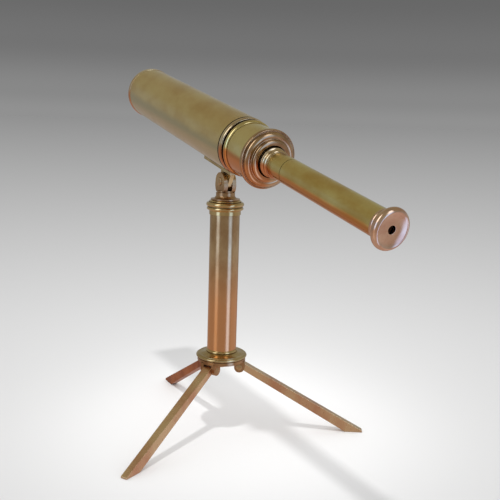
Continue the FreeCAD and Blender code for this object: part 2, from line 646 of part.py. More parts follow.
place(turned_piece("pillar_head", [
    ("stem_radius + turning_gap", HEAD_UNDER),
    (f"{PILLAR_BORE} - slip_gap", HEAD_UNDER),
    (f"{PILLAR_BORE} - slip_gap", PILLAR_TOP),
    (BAND_RADIUS, PILLAR_TOP),
    (BAND_RADIUS, f"{LOWER_BEAD} - band_slope"),
    (VALLEY_RADIUS, LOWER_BEAD),
    (VALLEY_RADIUS, f"{UPPER_BEAD} - valley_width",
     bead_radius("(lower_bead_height - valley_width)", "(lower_bead_step - valley_step)"), 1),
    (VALLEY_RADIUS, UPPER_BEAD),
    (VALLEY_RADIUS, f"{CROWN} - crown_gap",
     bead_radius("upper_bead_height", "(upper_bead_step - valley_step)"), 1),
    (f"{CROWN_RADIUS} - crown_slope", CROWN),
    (CROWN_RADIUS, f"{CROWN} + crown_slope_height"),
    (f"{CROWN_RADIUS} - crown_draft", f"{CROWN} + 2 * crown_slope_height", "crown_round", 1),
    (f"{FLANGE_RADIUS} - flange_shelf", HEAD_TOP),
    ("stem_radius + turning_gap", HEAD_TOP),
]))


# ---------------------------------------------------------------- swivel
def make_fork():
    """The swivel: a stem in the pillar head, a flared neck and two round cheeks."""
    neck_start = f"({SWIVEL_UNDER} + flange_edge)"
    neck_end = f"({SLOT_FLOOR} - neck_top)"
    flare = f"({FLANGE_RADIUS} - neck_radius)"
    body = turned_piece("swivel_fork", [
        ("0", f"{HEAD_UNDER} - stem_end"),
        ("stem_radius", f"{HEAD_UNDER} - stem_end"),
        ("stem_radius", SWIVEL_UNDER),
        (FLANGE_RADIUS, SWIVEL_UNDER),
        (FLANGE_RADIUS, neck_start),
        ("neck_radius", f"{neck_start} + flare_height", f"{flare} * flare_curve", -1),
        ("neck_radius", neck_end),
        ("neck_radius - neck_groove", f"{neck_end} + neck_slope"),
        ("neck_radius - neck_groove", SLOT_FLOOR),
        ("0", SLOT_FLOOR),
    ])
    cheeks = new_sketch(body, "YZ_Plane")
    draw_outline(cheeks, [
        ("-cheek_foot", f"{SLOT_FLOOR} - {PAST}", "cheek_radius * cheek_curve", 1),
        ("cheek_foot", f"{SLOT_FLOOR} - {PAST}"),
        ("cheek_radius", PIVOT_HEIGHT, "cheek_radius * cheek_curve", 1),
        ("0", f"{PIVOT_HEIGHT} + cheek_radius", "cheek_radius", 1),
        ("-cheek_radius", PIVOT_HEIGHT, "cheek_radius", 1),
    ])
    pad(body, cheeks, FORK_WIDTH)
    slot = new_sketch(body, "YZ_Plane")
    draw_outline(slot, [
        ("-2 * cheek_radius", SLOT_FLOOR),
        ("2 * cheek_radius", SLOT_FLOOR),
        ("2 * cheek_radius", f"{PIVOT_HEIGHT} + 2 * cheek_radius"),
        ("-2 * cheek_radius", f"{PIVOT_HEIGHT} + 2 * cheek_radius"),
    ])
    cut(body, slot, SLOT_WIDTH)
    hole = new_sketch(body, "YZ_Plane")
    draw_circle(hole, "0", PIVOT_HEIGHT, "pivot_screw")
    cut(body, hole, f"{FORK_WIDTH} + 2 * {PAST}")
    return place(body)


def make_ring(label, outer, inner, length):
    """A flat ring lying on its own XY plane."""
    blank = doc.addObject("Part::Cylinder", label + "_blank")
    bind(blank, "Radius", outer)
    bind(blank, "Height", length)
    bore = doc.addObject("Part::Cylinder", label + "_bore")
    bind(bore, "Radius", inner)
    bind(bore, "Height", length)
    ring = doc.addObject("Part::Cut", label)
    ring.Base = blank
    ring.Tool = bore
    return ring


def make_group(label, members):
    """Identical pieces kept together as separate solids of one node."""
    group = doc.addObject("Part::Compound", label)
    group.Label = label
    group.Links = members
    pieces.append(group)
    return group


def make_knuckle_washers():
    """A thin friction washer on each side of the tongue."""
    washers = []
    to_x = FreeCAD.Rotation(VECTOR(0, 1, 0), 90)
    inner_face = value("tongue_thickness / 2 + washer_gap / 2")
    for label, start in (("left", -inner_face - value("knuckle_washer")), ("right", inner_face)):
        washer = make_ring("knuckle_washer_" + label, "cheek_radius - knuckle_washer_margin",
                           "pivot_screw + screw_play", "knuckle_washer")
        washer.Placement = FreeCAD.Placement(PIVOT + VECTOR(start, 0, 0), to_x)
        washers.append(washer)
    return make_group("knuckle_washers", washers)


make_fork()
make_knuckle_washers()
half_fork = f"({FORK_WIDTH} / 2)"
to_left = FreeCAD.Rotation(VECTOR(0, 1, 0), -90)
place(turned_piece("tilt_screw", [
    ("0", f"-{half_fork}"),
    ("pivot_screw", f"-{half_fork}"),
    ("pivot_screw", half_fork),
    (BOSS_RADIUS, half_fork),
    (BOSS_EDGE, f"{half_fork} + boss_height - boss_dome"),
    ("0", f"{half_fork} + boss_height", sphere_radius(BOSS_EDGE, "boss_dome"), 1),
]), PIVOT, to_left)
place(turned_piece("tilt_nut", [
    ("0", f"-{half_fork} - boss_height"),
    (BOSS_EDGE, f"-{half_fork} - boss_height + boss_dome", sphere_radius(BOSS_EDGE, "boss_dome"), 1),
    (BOSS_RADIUS, f"-{half_fork}"),
    ("0", f"-{half_fork}"),
]), PIVOT, to_left)
washer_top = f"({HEAD_UNDER} - turning_gap)"
nut_top = f"({washer_top} - washer_height)"
place(turned_piece("swivel_washer", tube(
    "stem_radius + slip_gap", f"{PILLAR_BORE} - swivel_washer_margin", nut_top, washer_top)))
place(turned_piece("swivel_nut", tube(
    "stem_radius", "stem_radius + swivel_nut_wall", f"{nut_top} - swivel_nut_height", nut_top)))


# ---------------------------------------------------------------- saddle
def make_saddle():
    """A bar soldered along the barrel's underside, with a tongue for the fork."""
    body = new_body("saddle")
    bar = new_sketch(body, "YZ_Plane")
    bar_top = f"{BARREL_UNDER} + {PAST}"
    draw_outline(bar, [
        ("-saddle_back", BAR_UNDER),
        ("saddle_front", BAR_UNDER),
        ("saddle_front", bar_top),
        ("-saddle_back", bar_top),
    ])
    pad(body, bar, "saddle_width")
    seat = new_sketch(body, "XZ_Plane")
    draw_circle(seat, "0", AXIS_RISE, "barrel_radius + seat_gap")
    cut(body, seat, THROUGH)
    tongue = new_sketch(body, "YZ_Plane")
    shoulder = f"{BAR_UNDER} + {PAST}"
    draw_outline(tongue, [
        (f"-{TONGUE_RADIUS}", "0"),
        ("0", f"-{TONGUE_RADIUS}", TONGUE_RADIUS, 1),
        (TONGUE_RADIUS, "0", TONGUE_RADIUS, 1),
        (TONGUE_RADIUS, shoulder),
        ("-saddle_back + tongue_margin", shoulder),
    ])
    pad(body, tongue, "tongue_thickness")
    hole = new_sketch(body, "YZ_Plane")
    draw_circle(hole, "0", "0", "pivot_screw + screw_play")
    cut(body, hole, "2 * tongue_thickness")
    shanks = new_sketch(body, "XY_Plane")
    heads = new_sketch(body, "XY_Plane")
    for station in ("screw_first", "screw_second"):
        draw_circle(shanks, "0", station, "saddle_screw + slip_gap")
        draw_circle(heads, "0", station, "saddle_screw + screw_head_step + slip_gap")
    cut(body, shanks, THROUGH)
    cut(body, heads, f"{BAR_UNDER} + screw_head_height", one_side=True, reverse=True)
    return place(body, PIVOT, TILTED)


def make_backing_strip():
    """A curved strip inside the barrel that the saddle screws bite into."""
    body = new_body("saddle_backing_strip")
    outer = f"({BARREL_BORE} - slip_gap)"
    inner = f"({outer} - strip_thickness)"
    half = "(strip_width / 2)"
    outer_drop = f"{AXIS_RISE} - sqrt({outer} * {outer} - {half} * {half})"
    inner_drop = f"{AXIS_RISE} - sqrt({inner} * {inner} - {half} * {half})"
    section = new_sketch(body, "XZ_Plane")
    draw_outline(section, [
        (f"-{half}", outer_drop),
        (half, outer_drop, outer, 1),
        (half, inner_drop),
        (f"-{half}", inner_drop, inner, -1),
    ])
    pad(body, section, "strip_length")
    holes = new_sketch(body, "XY_Plane")
    middle = "((screw_first + screw_second) / 2)"
    for station in ("screw_first", "screw_second"):
        draw_circle(holes, "0", f"{station} - {middle}", "saddle_screw")
    cut(body, holes, THROUGH)
    return place(body, PIVOT + TILTED.multVec(VECTOR(0, value(middle), 0)), TILTED)


def make_saddle_screws():
    """Two cheese-head screws from the bar up into the backing strip."""
    screws = []
    length = "saddle_drop + barrel_wall + slip_gap + strip_thickness"
    for label, station in (("front", "screw_second"), ("back", "screw_first")):
        shank = doc.addObject("Part::Cylinder", f"saddle_screw_{label}_shank")
        bind(shank, "Radius", "saddle_screw")
        bind(shank, "Height", length)
        head = doc.addObject("Part::Cylinder", f"saddle_screw_{label}_head")
        bind(head, "Radius", "saddle_screw + screw_head_step")
        bind(head, "Height", "screw_head_height")
        screw = doc.addObject("Part::Fuse", f"saddle_screw_{label}")
        screw.Base = shank
        screw.Tool = head
        start = VECTOR(0, value(station), value(BAR_UNDER))
        screw.Placement = FreeCAD.Placement(PIVOT + TILTED.multVec(start), TILTED)
        screws.append(screw)
    return make_group("saddle_screws", screws)


make_saddle()
make_backing_strip()
make_saddle_screws()


# ---------------------------------------------------------------- barrel
def make_barrel_tube():
    """The main tube, with two holes in its underside for the saddle screws."""
    body = turned_piece("barrel_tube", tube(
        BARREL_BORE, "barrel_radius", "barrel_back", "barrel_front"))
    holes = new_sketch(body, "XZ_Plane")
    for station in ("screw_first", "screw_second"):
        draw_circle(holes, "0", station, "saddle_screw + slip_gap")
    cut(body, holes, "2 * barrel_radius", one_side=True)
    if body.Shape.Solids[0].CenterOfMass.y > 0:
        raise RuntimeError("barrel_tube: the screw holes are in its upper side")
    return place(body, BARREL_CENTRE, ALONG_BARREL)


make_barrel_tube()
bezel_radius = "(barrel_radius + bezel_step)"
bezel_front = "(barrel_front + bezel_height)"
on_barrel("objective_bezel", [
    (BEZEL_LIP, "barrel_front - bezel_spigot"),
    (GLASS_RADIUS, "barrel_front - bezel_spigot"),
    (GLASS_RADIUS, "barrel_front"),
    (bezel_radius, "barrel_front"),
    (bezel_radius, f"{bezel_front} - bezel_round"),
    (f"{bezel_radius} - bezel_round", bezel_front, f"bezel_round * {ROUND}", 1),
    (GLASS_RADIUS, bezel_front),
    (BEZEL_LIP, f"{bezel_front} - bezel_bevel"),
])
cell_bore = f"({GLASS_RADIUS} + glass_gap)"
on_barrel("objective_cell", [
    (BEZEL_LIP, f"{LENS_SEAT} - cell_back"),
    (f"{BARREL_BORE} - slip_gap", f"{LENS_SEAT} - cell_back"),
    (f"{BARREL_BORE} - slip_gap", "barrel_front"),
    (cell_bore, "barrel_front"),
    (cell_bore, LENS_SEAT),
    (BEZEL_LIP, LENS_SEAT),
])
flint_front = f"({LENS_SEAT} + flint_edge)"
crown_front = f"({flint_front} + crown_edge)"
on_barrel("flint_lens", [
    ("0", LENS_SEAT),
    (GLASS_RADIUS, LENS_SEAT),
    (GLASS_RADIUS, flint_front),
    ("0", f"{flint_front} - inner_sag", sphere_radius(GLASS_RADIUS, "inner_sag"), -1),
])
on_barrel("crown_lens", [
    ("0", f"{flint_front} - inner_sag"),
    (GLASS_RADIUS, flint_front, sphere_radius(GLASS_RADIUS, "inner_sag"), 1),
    (GLASS_RADIUS, crown_front),
    ("0", f"{crown_front} + outer_sag", sphere_radius(GLASS_RADIUS, "outer_sag"), 1),
])
stop_outer = f"({BARREL_BORE} - slip_gap)"
stop_bore = f"({stop_outer} - stop_wall)"
stop_front = "(stop_station + stop_length)"
on_barrel("glare_stop", [
    (stop_bore, "stop_station"),
    (stop_outer, "stop_station"),
    (stop_outer, stop_front),
    ("stop_opening", stop_front),
    ("stop_opening", f"{stop_front} - stop_plate"),
    (stop_bore, f"{stop_front} - stop_plate"),
])

# ---------------------------------------------------------------- tail
spigot_outer = f"({BARREL_BORE} - slip_gap)"
spigot_bore = f"({spigot_outer} - spigot_wall)"
on_barrel("barrel_end_ring", [
    (spigot_bore, COLLAR_START),
    ("barrel_radius - groove_depth", COLLAR_START),
    ("barrel_radius - groove_depth", GROOVE_START),
    ("barrel_radius - bead_foot", GROOVE_START),
    ("barrel_radius - bead_foot", "barrel_back", bead_radius("bead_length", "(bead_foot + bead_step)"), 1),
    (spigot_outer, "barrel_back"),
    (spigot_outer, "barrel_back + spigot_length"),
    (spigot_bore, "barrel_back + spigot_length"),
])
on_barrel("tail_collar", [
    (TAIL_BORE, FLANGE_FRONT),
    (TAIL_RADIUS, FLANGE_FRONT),
    (TAIL_RADIUS, TAIL_START),
    (TAIL_RADIUS, COLLAR_START, bead_radius("second_bead_length", "second_bead_step"), 1),
    (f"{spigot_bore} - slip_gap", COLLAR_START),
    (f"{spigot_bore} - slip_gap", f"{COLLAR_START} + spigot_length"),
    (TAIL_BORE, f"{COLLAR_START} + spigot_length"),
])


def make_tail_flange():
    """The moulded flange: a rim, a step, a swelling, a hollow and a raised ring round its mouth."""
    spigot = f"({TAIL_BORE} - slip_gap)"
    land = f"({TAIL_BORE} - flange_land)"
    spigot_front = f"({FLANGE_FRONT} + flange_plate)"
    recess = f"({FLANGE_FRONT} - flange_recess)"
    mouth = f"({GUIDE_RADIUS} + mouth_gap)"
    mouth_back = f"({FLANGE_BACK} - mouth_depth)"
    step = f"({RIM_RADIUS} - rim_width)"
    step_back = f"({FLANGE_BACK} - step_depth)"
    lip = f"({mouth} + lip_share * ({step} - {mouth}))"
    hollow = f"({lip} + lip_round)"
    hollow_back = f"({FLANGE_BACK} - ogee_start)"
    ogee_across = f"({step} - {hollow})"
    ogee_along = "(ogee_start - step_depth)"
    ogee_chord = f"sqrt({ogee_across} * {ogee_across} + {ogee_along} * {ogee_along})"
    return on_barrel("tail_flange", [
        (land, spigot_front),
        (land, recess),
        (mouth, f"{recess} - mouth_bevel"),
        (mouth, f"{mouth_back} + mouth_round"),
        (f"{mouth} + mouth_round", mouth_back, f"mouth_round * {ROUND}", 1),
        (f"{lip} - lip_round", mouth_back),
        (lip, f"{mouth_back} + lip_round", f"lip_round * {ROUND}", 1),
        (f"{lip} + lip_draft", f"{FLANGE_BACK} - lip_side"),
        (hollow, hollow_back, "lip_round", -1),
        (step, step_back, f"ogee_curve * {ogee_chord}", 1),
        (f"{step} + rim_lean", FLANGE_BACK),
        (f"{RIM_RADIUS} - rim_round", FLANGE_BACK),
        (RIM_RADIUS, f"{FLANGE_BACK} + rim_round", f"rim_round * {ROUND}", 1),
        (RIM_RADIUS, f"{FLANGE_FRONT} - rim_slope - rim_bevel"),
        (f"{RIM_RADIUS} - rim_bevel", f"{FLANGE_FRONT} - rim_slope"),
        (f"{TAIL_RADIUS} + rim_slope_rise", FLANGE_FRONT, "rim_slope", -1),
        (spigot, FLANGE_FRONT),
        (spigot, spigot_front),
    ])


def make_draw_guide():
    """The tube that the draw tube slides in, with a thin rim and a beaded end."""
    end = f"({GUIDE_RADIUS} - guide_end_inset)"
    band_front = f"({GUIDE_BACK} + guide_end_band)"
    rim = f"({GUIDE_RADIUS} + guide_rim_step)"
    plate_back = f"({FLANGE_FRONT} + flange_plate)"
    plate_front = f"({plate_back} + guide_plate)"
    plate_radius = f"({TAIL_BORE} - slip_gap)"
    return on_barrel("draw_guide", [
        (GUIDE_BORE, GUIDE_BACK),
        (end, GUIDE_BACK),
        (end, band_front),
        (end, f"{band_front} + guide_bead_length", "guide_bead_curve", 1),
        (f"{GUIDE_RADIUS} - guide_rim_slope", f"{GUIDE_RIM} - guide_rim_slope", "guide_hollow_curve", -1),
        (rim, GUIDE_RIM),
        (rim, f"{GUIDE_RIM} + guide_rim_width"),
        (GUIDE_RADIUS, f"{GUIDE_RIM} + guide_rim_width + guide_rim_slope"),
        (GUIDE_RADIUS, plate_back),
        (plate_radius, plate_back),
        (plate_radius, plate_front),
        (GUIDE_RADIUS, plate_front),
        (GUIDE_RADIUS, GUIDE_FRONT),
        (GUIDE_BORE, GUIDE_FRONT),
    ])


make_tail_flange()
make_draw_guide()

# ---------------------------------------------------------------- draw tube
stop_spigot = f"({DRAW_BORE} - slip_gap)"
stop_ring_bore = f"({stop_spigot} - draw_stop_wall)"
on_barrel("draw_tube", tube(DRAW_BORE, "draw_radius", DRAW_BACK, DRAW_FRONT))
on_barrel("draw_stop_ring", [
    (stop_ring_bore, f"{DRAW_FRONT} - draw_stop_spigot"),
    (stop_spigot, f"{DRAW_FRONT} - draw_stop_spigot"),
    (stop_spigot, DRAW_FRONT),
    ("draw_radius + draw_stop_step", DRAW_FRONT),
    ("draw_radius + draw_stop_step", f"{DRAW_FRONT} + draw_stop_length"),
    (stop_ring_bore, f"{DRAW_FRONT} + draw_stop_length"),
])
erector_front = f"({DRAW_FRONT} - erector_inset)"
erector_back = f"({erector_front} - erector_length)"
field_back = f"({DRAW_BACK} + field_tube_inset)"
field_front = f"({field_back} + field_tube_length)"
on_barrel("erector_tube", tube(CARTRIDGE_BORE, CARTRIDGE_RADIUS, erector_back, erector_front))
on_barrel("eyepiece_tube", tube(CARTRIDGE_BORE, CARTRIDGE_RADIUS, field_back, field_front))


def make_small_lens(label, station, facing):
    """A small glass with one flat and one curved face; facing is the curved side, 1 forward."""
    flat = station
    edge = f"({station} + {facing} * small_glass_edge)"
    peak = f"({station} + {facing} * (small_glass_edge + small_glass_sag))"
    curve = sphere_radius(SMALL_GLASS, "small_glass_sag")
    return on_barrel(label, [
        ("0", flat),
        (SMALL_GLASS, flat),
        (SMALL_GLASS, edge),
        ("0", peak, curve, facing),
    ])


def make_lens_ring(label, station):
    """A short ring that holds a small glass; station is its front end."""
    return on_barrel(label, tube(
        f"{CARTRIDGE_BORE} - slip_gap - lens_ring_wall", f"{CARTRIDGE_BORE} - slip_gap",
        f"({station}) - lens_ring_length", station))


front_erector = f"({erector_front} - glass_inset)"
back_erector = f"({erector_back} + glass_inset)"
field_lens = f"({field_front} - glass_inset)"
eye_lens = f"({field_back} + glass_inset)"
field_stop = f"({field_front} - field_stop_inset)"
make_small_lens("erector_lens_front", front_erector, 1)
make_small_lens("erector_lens_back", back_erector, -1)
make_small_lens("field_lens", field_lens, 1)
make_small_lens("eye_lens", eye_lens, 1)
make_lens_ring("erector_ring_front", front_erector)
make_lens_ring("erector_ring_back", f"{back_erector} + lens_ring_length")
make_lens_ring("field_lens_ring", field_lens)
make_lens_ring("eye_lens_ring", eye_lens)
on_barrel("field_stop", tube(
    "field_stop_opening", f"{CARTRIDGE_BORE} - slip_gap", f"{field_stop} - field_stop_plate", field_stop))
cove = "(draw_radius + cove_step)"
collar_front = f"({field_back} - cartridge_gap)"
on_barrel("eyepiece_collar", [
    (CARTRIDGE_BORE, CAP_START),
    (cove, CAP_START),
    (cove, COLLAR_END, "cove_length * cove_curve", -1),
    ("draw_radius", DRAW_BACK, bead_radius("collar_bead_length", "collar_bead_step"), 1),
    (f"{DRAW_BORE} - slip_gap", DRAW_BACK),
    (f"{DRAW_BORE} - slip_gap", collar_front),
    (CARTRIDGE_BORE, collar_front),
])
dish = f"({CAP_RADIUS} - dish_rim)"
dish_floor = f"({CAP_END} + dish_depth)"
on_barrel("eyecap", [
    ("eye_hole", f"{dish_floor} + cap_wall"),
    ("eye_hole", dish_floor),
    (dish, CAP_END, "dish_curve", -1),
    (CAP_RADIUS, f"{CAP_START} - cap_length / 2", "cap_round", 1),
    (f"{CAP_RADIUS} - cap_shoulder", CAP_START, "cap_round", 1),
    (CARTRIDGE_BORE, CAP_START),
    (CARTRIDGE_BORE, f"{dish_floor} + cap_wall"),
])


# ---------------------------------------------------------------- checks and files
doc.recompute()
for item in doc.Objects:
    if "Invalid" in item.State or "Error" in item.State:
        raise RuntimeError(f"{item.Label} failed: {item.State}")
for piece in pieces:
    if piece.Shape.isNull() or not piece.Shape.isValid():
        raise RuntimeError(f"{piece.Label} has no valid shape")
os.makedirs("parts", exist_ok=True)
for piece in pieces:
    piece.Shape.exportStep(f"parts/{piece.Label}.step")
print(len(pieces), "pieces written")
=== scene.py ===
"""A brass table telescope on a pillar with three folding legs: its looks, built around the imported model."""
import json
import math

import bmesh
import bpy
from mathutils import Matrix, Vector


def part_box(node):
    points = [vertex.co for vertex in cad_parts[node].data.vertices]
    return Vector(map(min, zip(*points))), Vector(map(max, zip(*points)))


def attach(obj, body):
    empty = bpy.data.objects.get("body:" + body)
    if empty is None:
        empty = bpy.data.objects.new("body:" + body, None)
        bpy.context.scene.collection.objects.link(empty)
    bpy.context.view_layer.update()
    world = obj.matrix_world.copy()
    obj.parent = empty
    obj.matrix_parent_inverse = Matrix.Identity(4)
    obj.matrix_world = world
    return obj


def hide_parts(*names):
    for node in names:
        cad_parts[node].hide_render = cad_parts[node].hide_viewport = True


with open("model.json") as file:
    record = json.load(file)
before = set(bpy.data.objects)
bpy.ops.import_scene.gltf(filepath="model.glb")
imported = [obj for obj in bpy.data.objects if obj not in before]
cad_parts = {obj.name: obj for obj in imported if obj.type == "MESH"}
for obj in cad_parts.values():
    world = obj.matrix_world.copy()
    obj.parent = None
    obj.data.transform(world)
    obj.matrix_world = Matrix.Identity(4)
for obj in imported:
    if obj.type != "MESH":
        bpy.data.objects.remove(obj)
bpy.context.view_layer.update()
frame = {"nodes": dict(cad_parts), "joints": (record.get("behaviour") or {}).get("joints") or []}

MM = 0.001
TURN_STEPS = 144
ROUND_SEGMENTS = 5
SHARP_ANGLE = math.radians(32)
FLAT_ANGLE = math.radians(0.5)
MERGE_DISTANCE = 0.001 * MM
# A spigot is this much smaller in radius than the bore that it sits in, in millimetres.
FIT = 0.05
nodes = frame["nodes"]
joints = {joint["name"]: joint for joint in frame["joints"]}
scene = bpy.context.scene


# ---------------------------------------------------------------- camera
CAMERA_TARGET = Vector((20.51, -12.07, 170.6)) * MM
CAMERA_DISTANCE = 684.1 * MM
CAMERA_AZIMUTH = math.radians(-30.48)
CAMERA_ELEVATION = math.radians(10.086)
CAMERA_ROLL = math.radians(1.813)
CAMERA_LENS = 53.64


def add_camera():
    """The camera looks down a little at the eyepiece end, from the left, and leans slightly."""
    camera = bpy.data.objects.new("camera", bpy.data.cameras.new("camera"))
    scene.collection.objects.link(camera)
    camera.data.lens = CAMERA_LENS
    camera.data.clip_start = 10 * MM
    turn = Matrix.Rotation(CAMERA_AZIMUTH, 4, "Z") @ Matrix.Rotation(math.pi / 2 - CAMERA_ELEVATION, 4, "X")
    away = turn @ Vector((0, 0, CAMERA_DISTANCE))
    camera.matrix_world = (Matrix.Translation(CAMERA_TARGET + away) @ turn
                           @ Matrix.Rotation(CAMERA_ROLL, 4, "Z"))
    scene.camera = camera


add_camera()


# ---------------------------------------------------------------- shader helpers
def linear(hex_colour):
    """An sRGB hex colour as linear red, green, blue and alpha."""
    channels = [int(hex_colour[start:start + 2], 16) / 255 for start in (1, 3, 5)]
    return [c / 12.92 if c <= 0.04045 else ((c + 0.055) / 1.055) ** 2.4 for c in channels] + [1]


def add(tree, kind, inputs=None, **settings):
    """Adds a node; inputs gives each socket, by name or number, a value or another node's output."""
    node = tree.nodes.new(kind)
    for name, setting in settings.items():
        setattr(node, name, setting)
    for socket, source in (inputs or {}).items():
        if isinstance(source, bpy.types.NodeSocket):
            tree.links.new(source, node.inputs[socket])
        else:
            node.inputs[socket].default_value = source
    return node


def new_material(name):
    material = bpy.data.materials.new(name)
    material.use_nodes = True
    material.node_tree.nodes.clear()
    return material, material.node_tree


def local_position(tree, place):
    """Object coordinates seen from a piece's own axis, so that Z runs along the axis."""
    position = add(tree, "ShaderNodeTexCoord").outputs["Object"]
    return add(tree, "ShaderNodeMapping", {"Vector": position, "Location": place.translation,
               "Rotation": place.to_euler()}, vector_type="TEXTURE").outputs[0]


def stretched_noise(tree, position, size, detail=3.0, roughness=0.5):
    """Noise whose grains measure size, in millimetres along the local X, Y and Z."""
    scale = [1 / (side * MM) for side in size]
    stretched = add(tree, "ShaderNodeVectorMath", {0: position, 1: scale}, operation="MULTIPLY")
    return add(tree, "ShaderNodeTexNoise", {"Vector": stretched.outputs[0], "Scale": 1.0, "Detail": detail,
               "Roughness": roughness}).outputs[0]


# ---------------------------------------------------------------- materials
SMOOTH = "SMOOTHSTEP"


def facing(tree, position, place, direction):
    """How far a round surface faces a direction: 1 straight at it, 0 square to it."""
    side = place.to_3x3().inverted() @ Vector(direction)
    side.z = 0
    flat = add(tree, "ShaderNodeVectorMath", {0: position, 1: (1, 1, 0)}, operation="MULTIPLY").outputs[0]
    outward = add(tree, "ShaderNodeVectorMath", {0: flat}, operation="NORMALIZE").outputs[0]
    return add(tree, "ShaderNodeVectorMath", {0: outward, 1: side.normalized()},
               operation="DOT_PRODUCT").outputs["Value"]


def grime_and_shade_bands(tree, measure, bands):
    """1 inside any of the (low, high) bands of a measure in millimetres, 0 outside, with soft edges."""
    edge = 0.25
    total = None
    for low, high in bands:
        rise = add(tree, "ShaderNodeMapRange", {0: measure, 1: (low - edge) * MM, 2: (low + edge) * MM},
                   interpolation_type=SMOOTH).outputs[0]
        fall = add(tree, "ShaderNodeMapRange", {0: measure, 1: (high - edge) * MM, 2: (high + edge) * MM,
                   3: 1.0, 4: 0.0}, interpolation_type=SMOOTH).outputs[0]
        inside = add(tree, "ShaderNodeMath", {0: rise, 1: fall}, operation="MULTIPLY").outputs[0]
        total = inside if total is None else add(tree, "ShaderNodeMath", {0: total, 1: inside},
                                                 operation="MAXIMUM").outputs[0]
    return total


def tarnish_and_painted_reflection(tree, position, place, clean, toned, painted_reflection, fade):
    """Clean brass with browner clouds a few centimetres long, a reflection painted on one side as a tone,
    a tone that fades in along the length, and small brown stains."""
    cloud = stretched_noise(tree, position, (26, 26, 40), 4.0, 0.6)
    patches = add(tree, "ShaderNodeMapRange", {0: cloud, 1: 0.34, 2: 0.7}, interpolation_type=SMOOTH)
    colour = add(tree, "ShaderNodeMix", {0: patches.outputs[0], 6: linear(clean), 7: linear(toned)},
                 data_type="RGBA").outputs[2]
    # Painted reflection: a tone laid on the side that faces the given direction.
    if painted_reflection:
        tone, direction, start, full = painted_reflection
        side = facing(tree, position, place, direction)
        # The cloud moves the painted reflection's edge in and out; ragged_by / 2 is its mean.
        ragged_by = 0.16
        ragged = add(tree, "ShaderNodeMath", {0: cloud, 1: ragged_by, 2: side}, operation="MULTIPLY_ADD")
        share = add(tree, "ShaderNodeMapRange", {0: ragged.outputs[0], 1: start + ragged_by / 2,
                    2: full + ragged_by / 2}, interpolation_type=SMOOTH).outputs[0]
        colour = add(tree, "ShaderNodeMix", {0: share, 6: colour, 7: linear(tone)},
                     data_type="RGBA").outputs[2]
    if fade:
        tone, full, start = fade
        station = add(tree, "ShaderNodeSeparateXYZ", {0: position}).outputs[2]
        share = add(tree, "ShaderNodeMapRange", {0: station, 1: full * MM, 2: start * MM, 3: 1.0, 4: 0.0},
                    interpolation_type=SMOOTH).outputs[0]
        colour = add(tree, "ShaderNodeMix", {0: share, 6: colour, 7: linear(tone)},
                     data_type="RGBA").outputs[2]
    # Small brown stains, 1 to 2 mm across, thinly scattered.
    specks = stretched_noise(tree, position, (2.6, 2.6, 3.4), 3.0, 0.65)
    stains = add(tree, "ShaderNodeMapRange", {0: specks, 1: 0.66, 2: 0.8, 3: 0.0, 4: 0.5},
                 interpolation_type=SMOOTH).outputs[0]
    return add(tree, "ShaderNodeMix", {0: stains, 6: colour, 7: linear("#6E4A24")},
               data_type="RGBA").outputs[2]


def grime_and_painted_shade(tree, position, corner_shade_and_grime, grooves, shadow_radii):
    """Where soiling and painted shade lie, from 0 to 1: soiling with painted shade in corners, soiling in the
    grooves, and a line of painted shadow at the given distances from the axis.
    """
    # Painted shade, with dirt, darkens the surface within a few millimetres of an inner corner.
    corner = add(tree, "ShaderNodeAmbientOcclusion", {"Distance": 2.5 * MM}, samples=8).outputs["AO"]
    grime_and_shade = add(tree, "ShaderNodeMapRange", {0: corner, 1: 0.2, 2: 0.8, 3: corner_shade_and_grime, 4: 0.0},
                interpolation_type=SMOOTH).outputs[0]
    if grooves:
        station = add(tree, "ShaderNodeSeparateXYZ", {0: position}).outputs[2]
        black = grime_and_shade_bands(tree, station, grooves)
        grime_and_shade = add(tree, "ShaderNodeMath", {0: grime_and_shade, 1: black}, operation="MAXIMUM").outputs[0]
    # A black line of painted shadow where the piece meets another, at given distances from its axis.
    if shadow_radii:
        flat = add(tree, "ShaderNodeVectorMath", {0: position, 1: (1, 1, 0)}, operation="MULTIPLY").outputs[0]
        distance = add(tree, "ShaderNodeVectorMath", {0: flat}, operation="LENGTH").outputs["Value"]
        black = grime_and_shade_bands(tree, distance, shadow_radii)
        grime_and_shade = add(tree, "ShaderNodeMath", {0: grime_and_shade, 1: black}, operation="MAXIMUM").outputs[0]
    return grime_and_shade


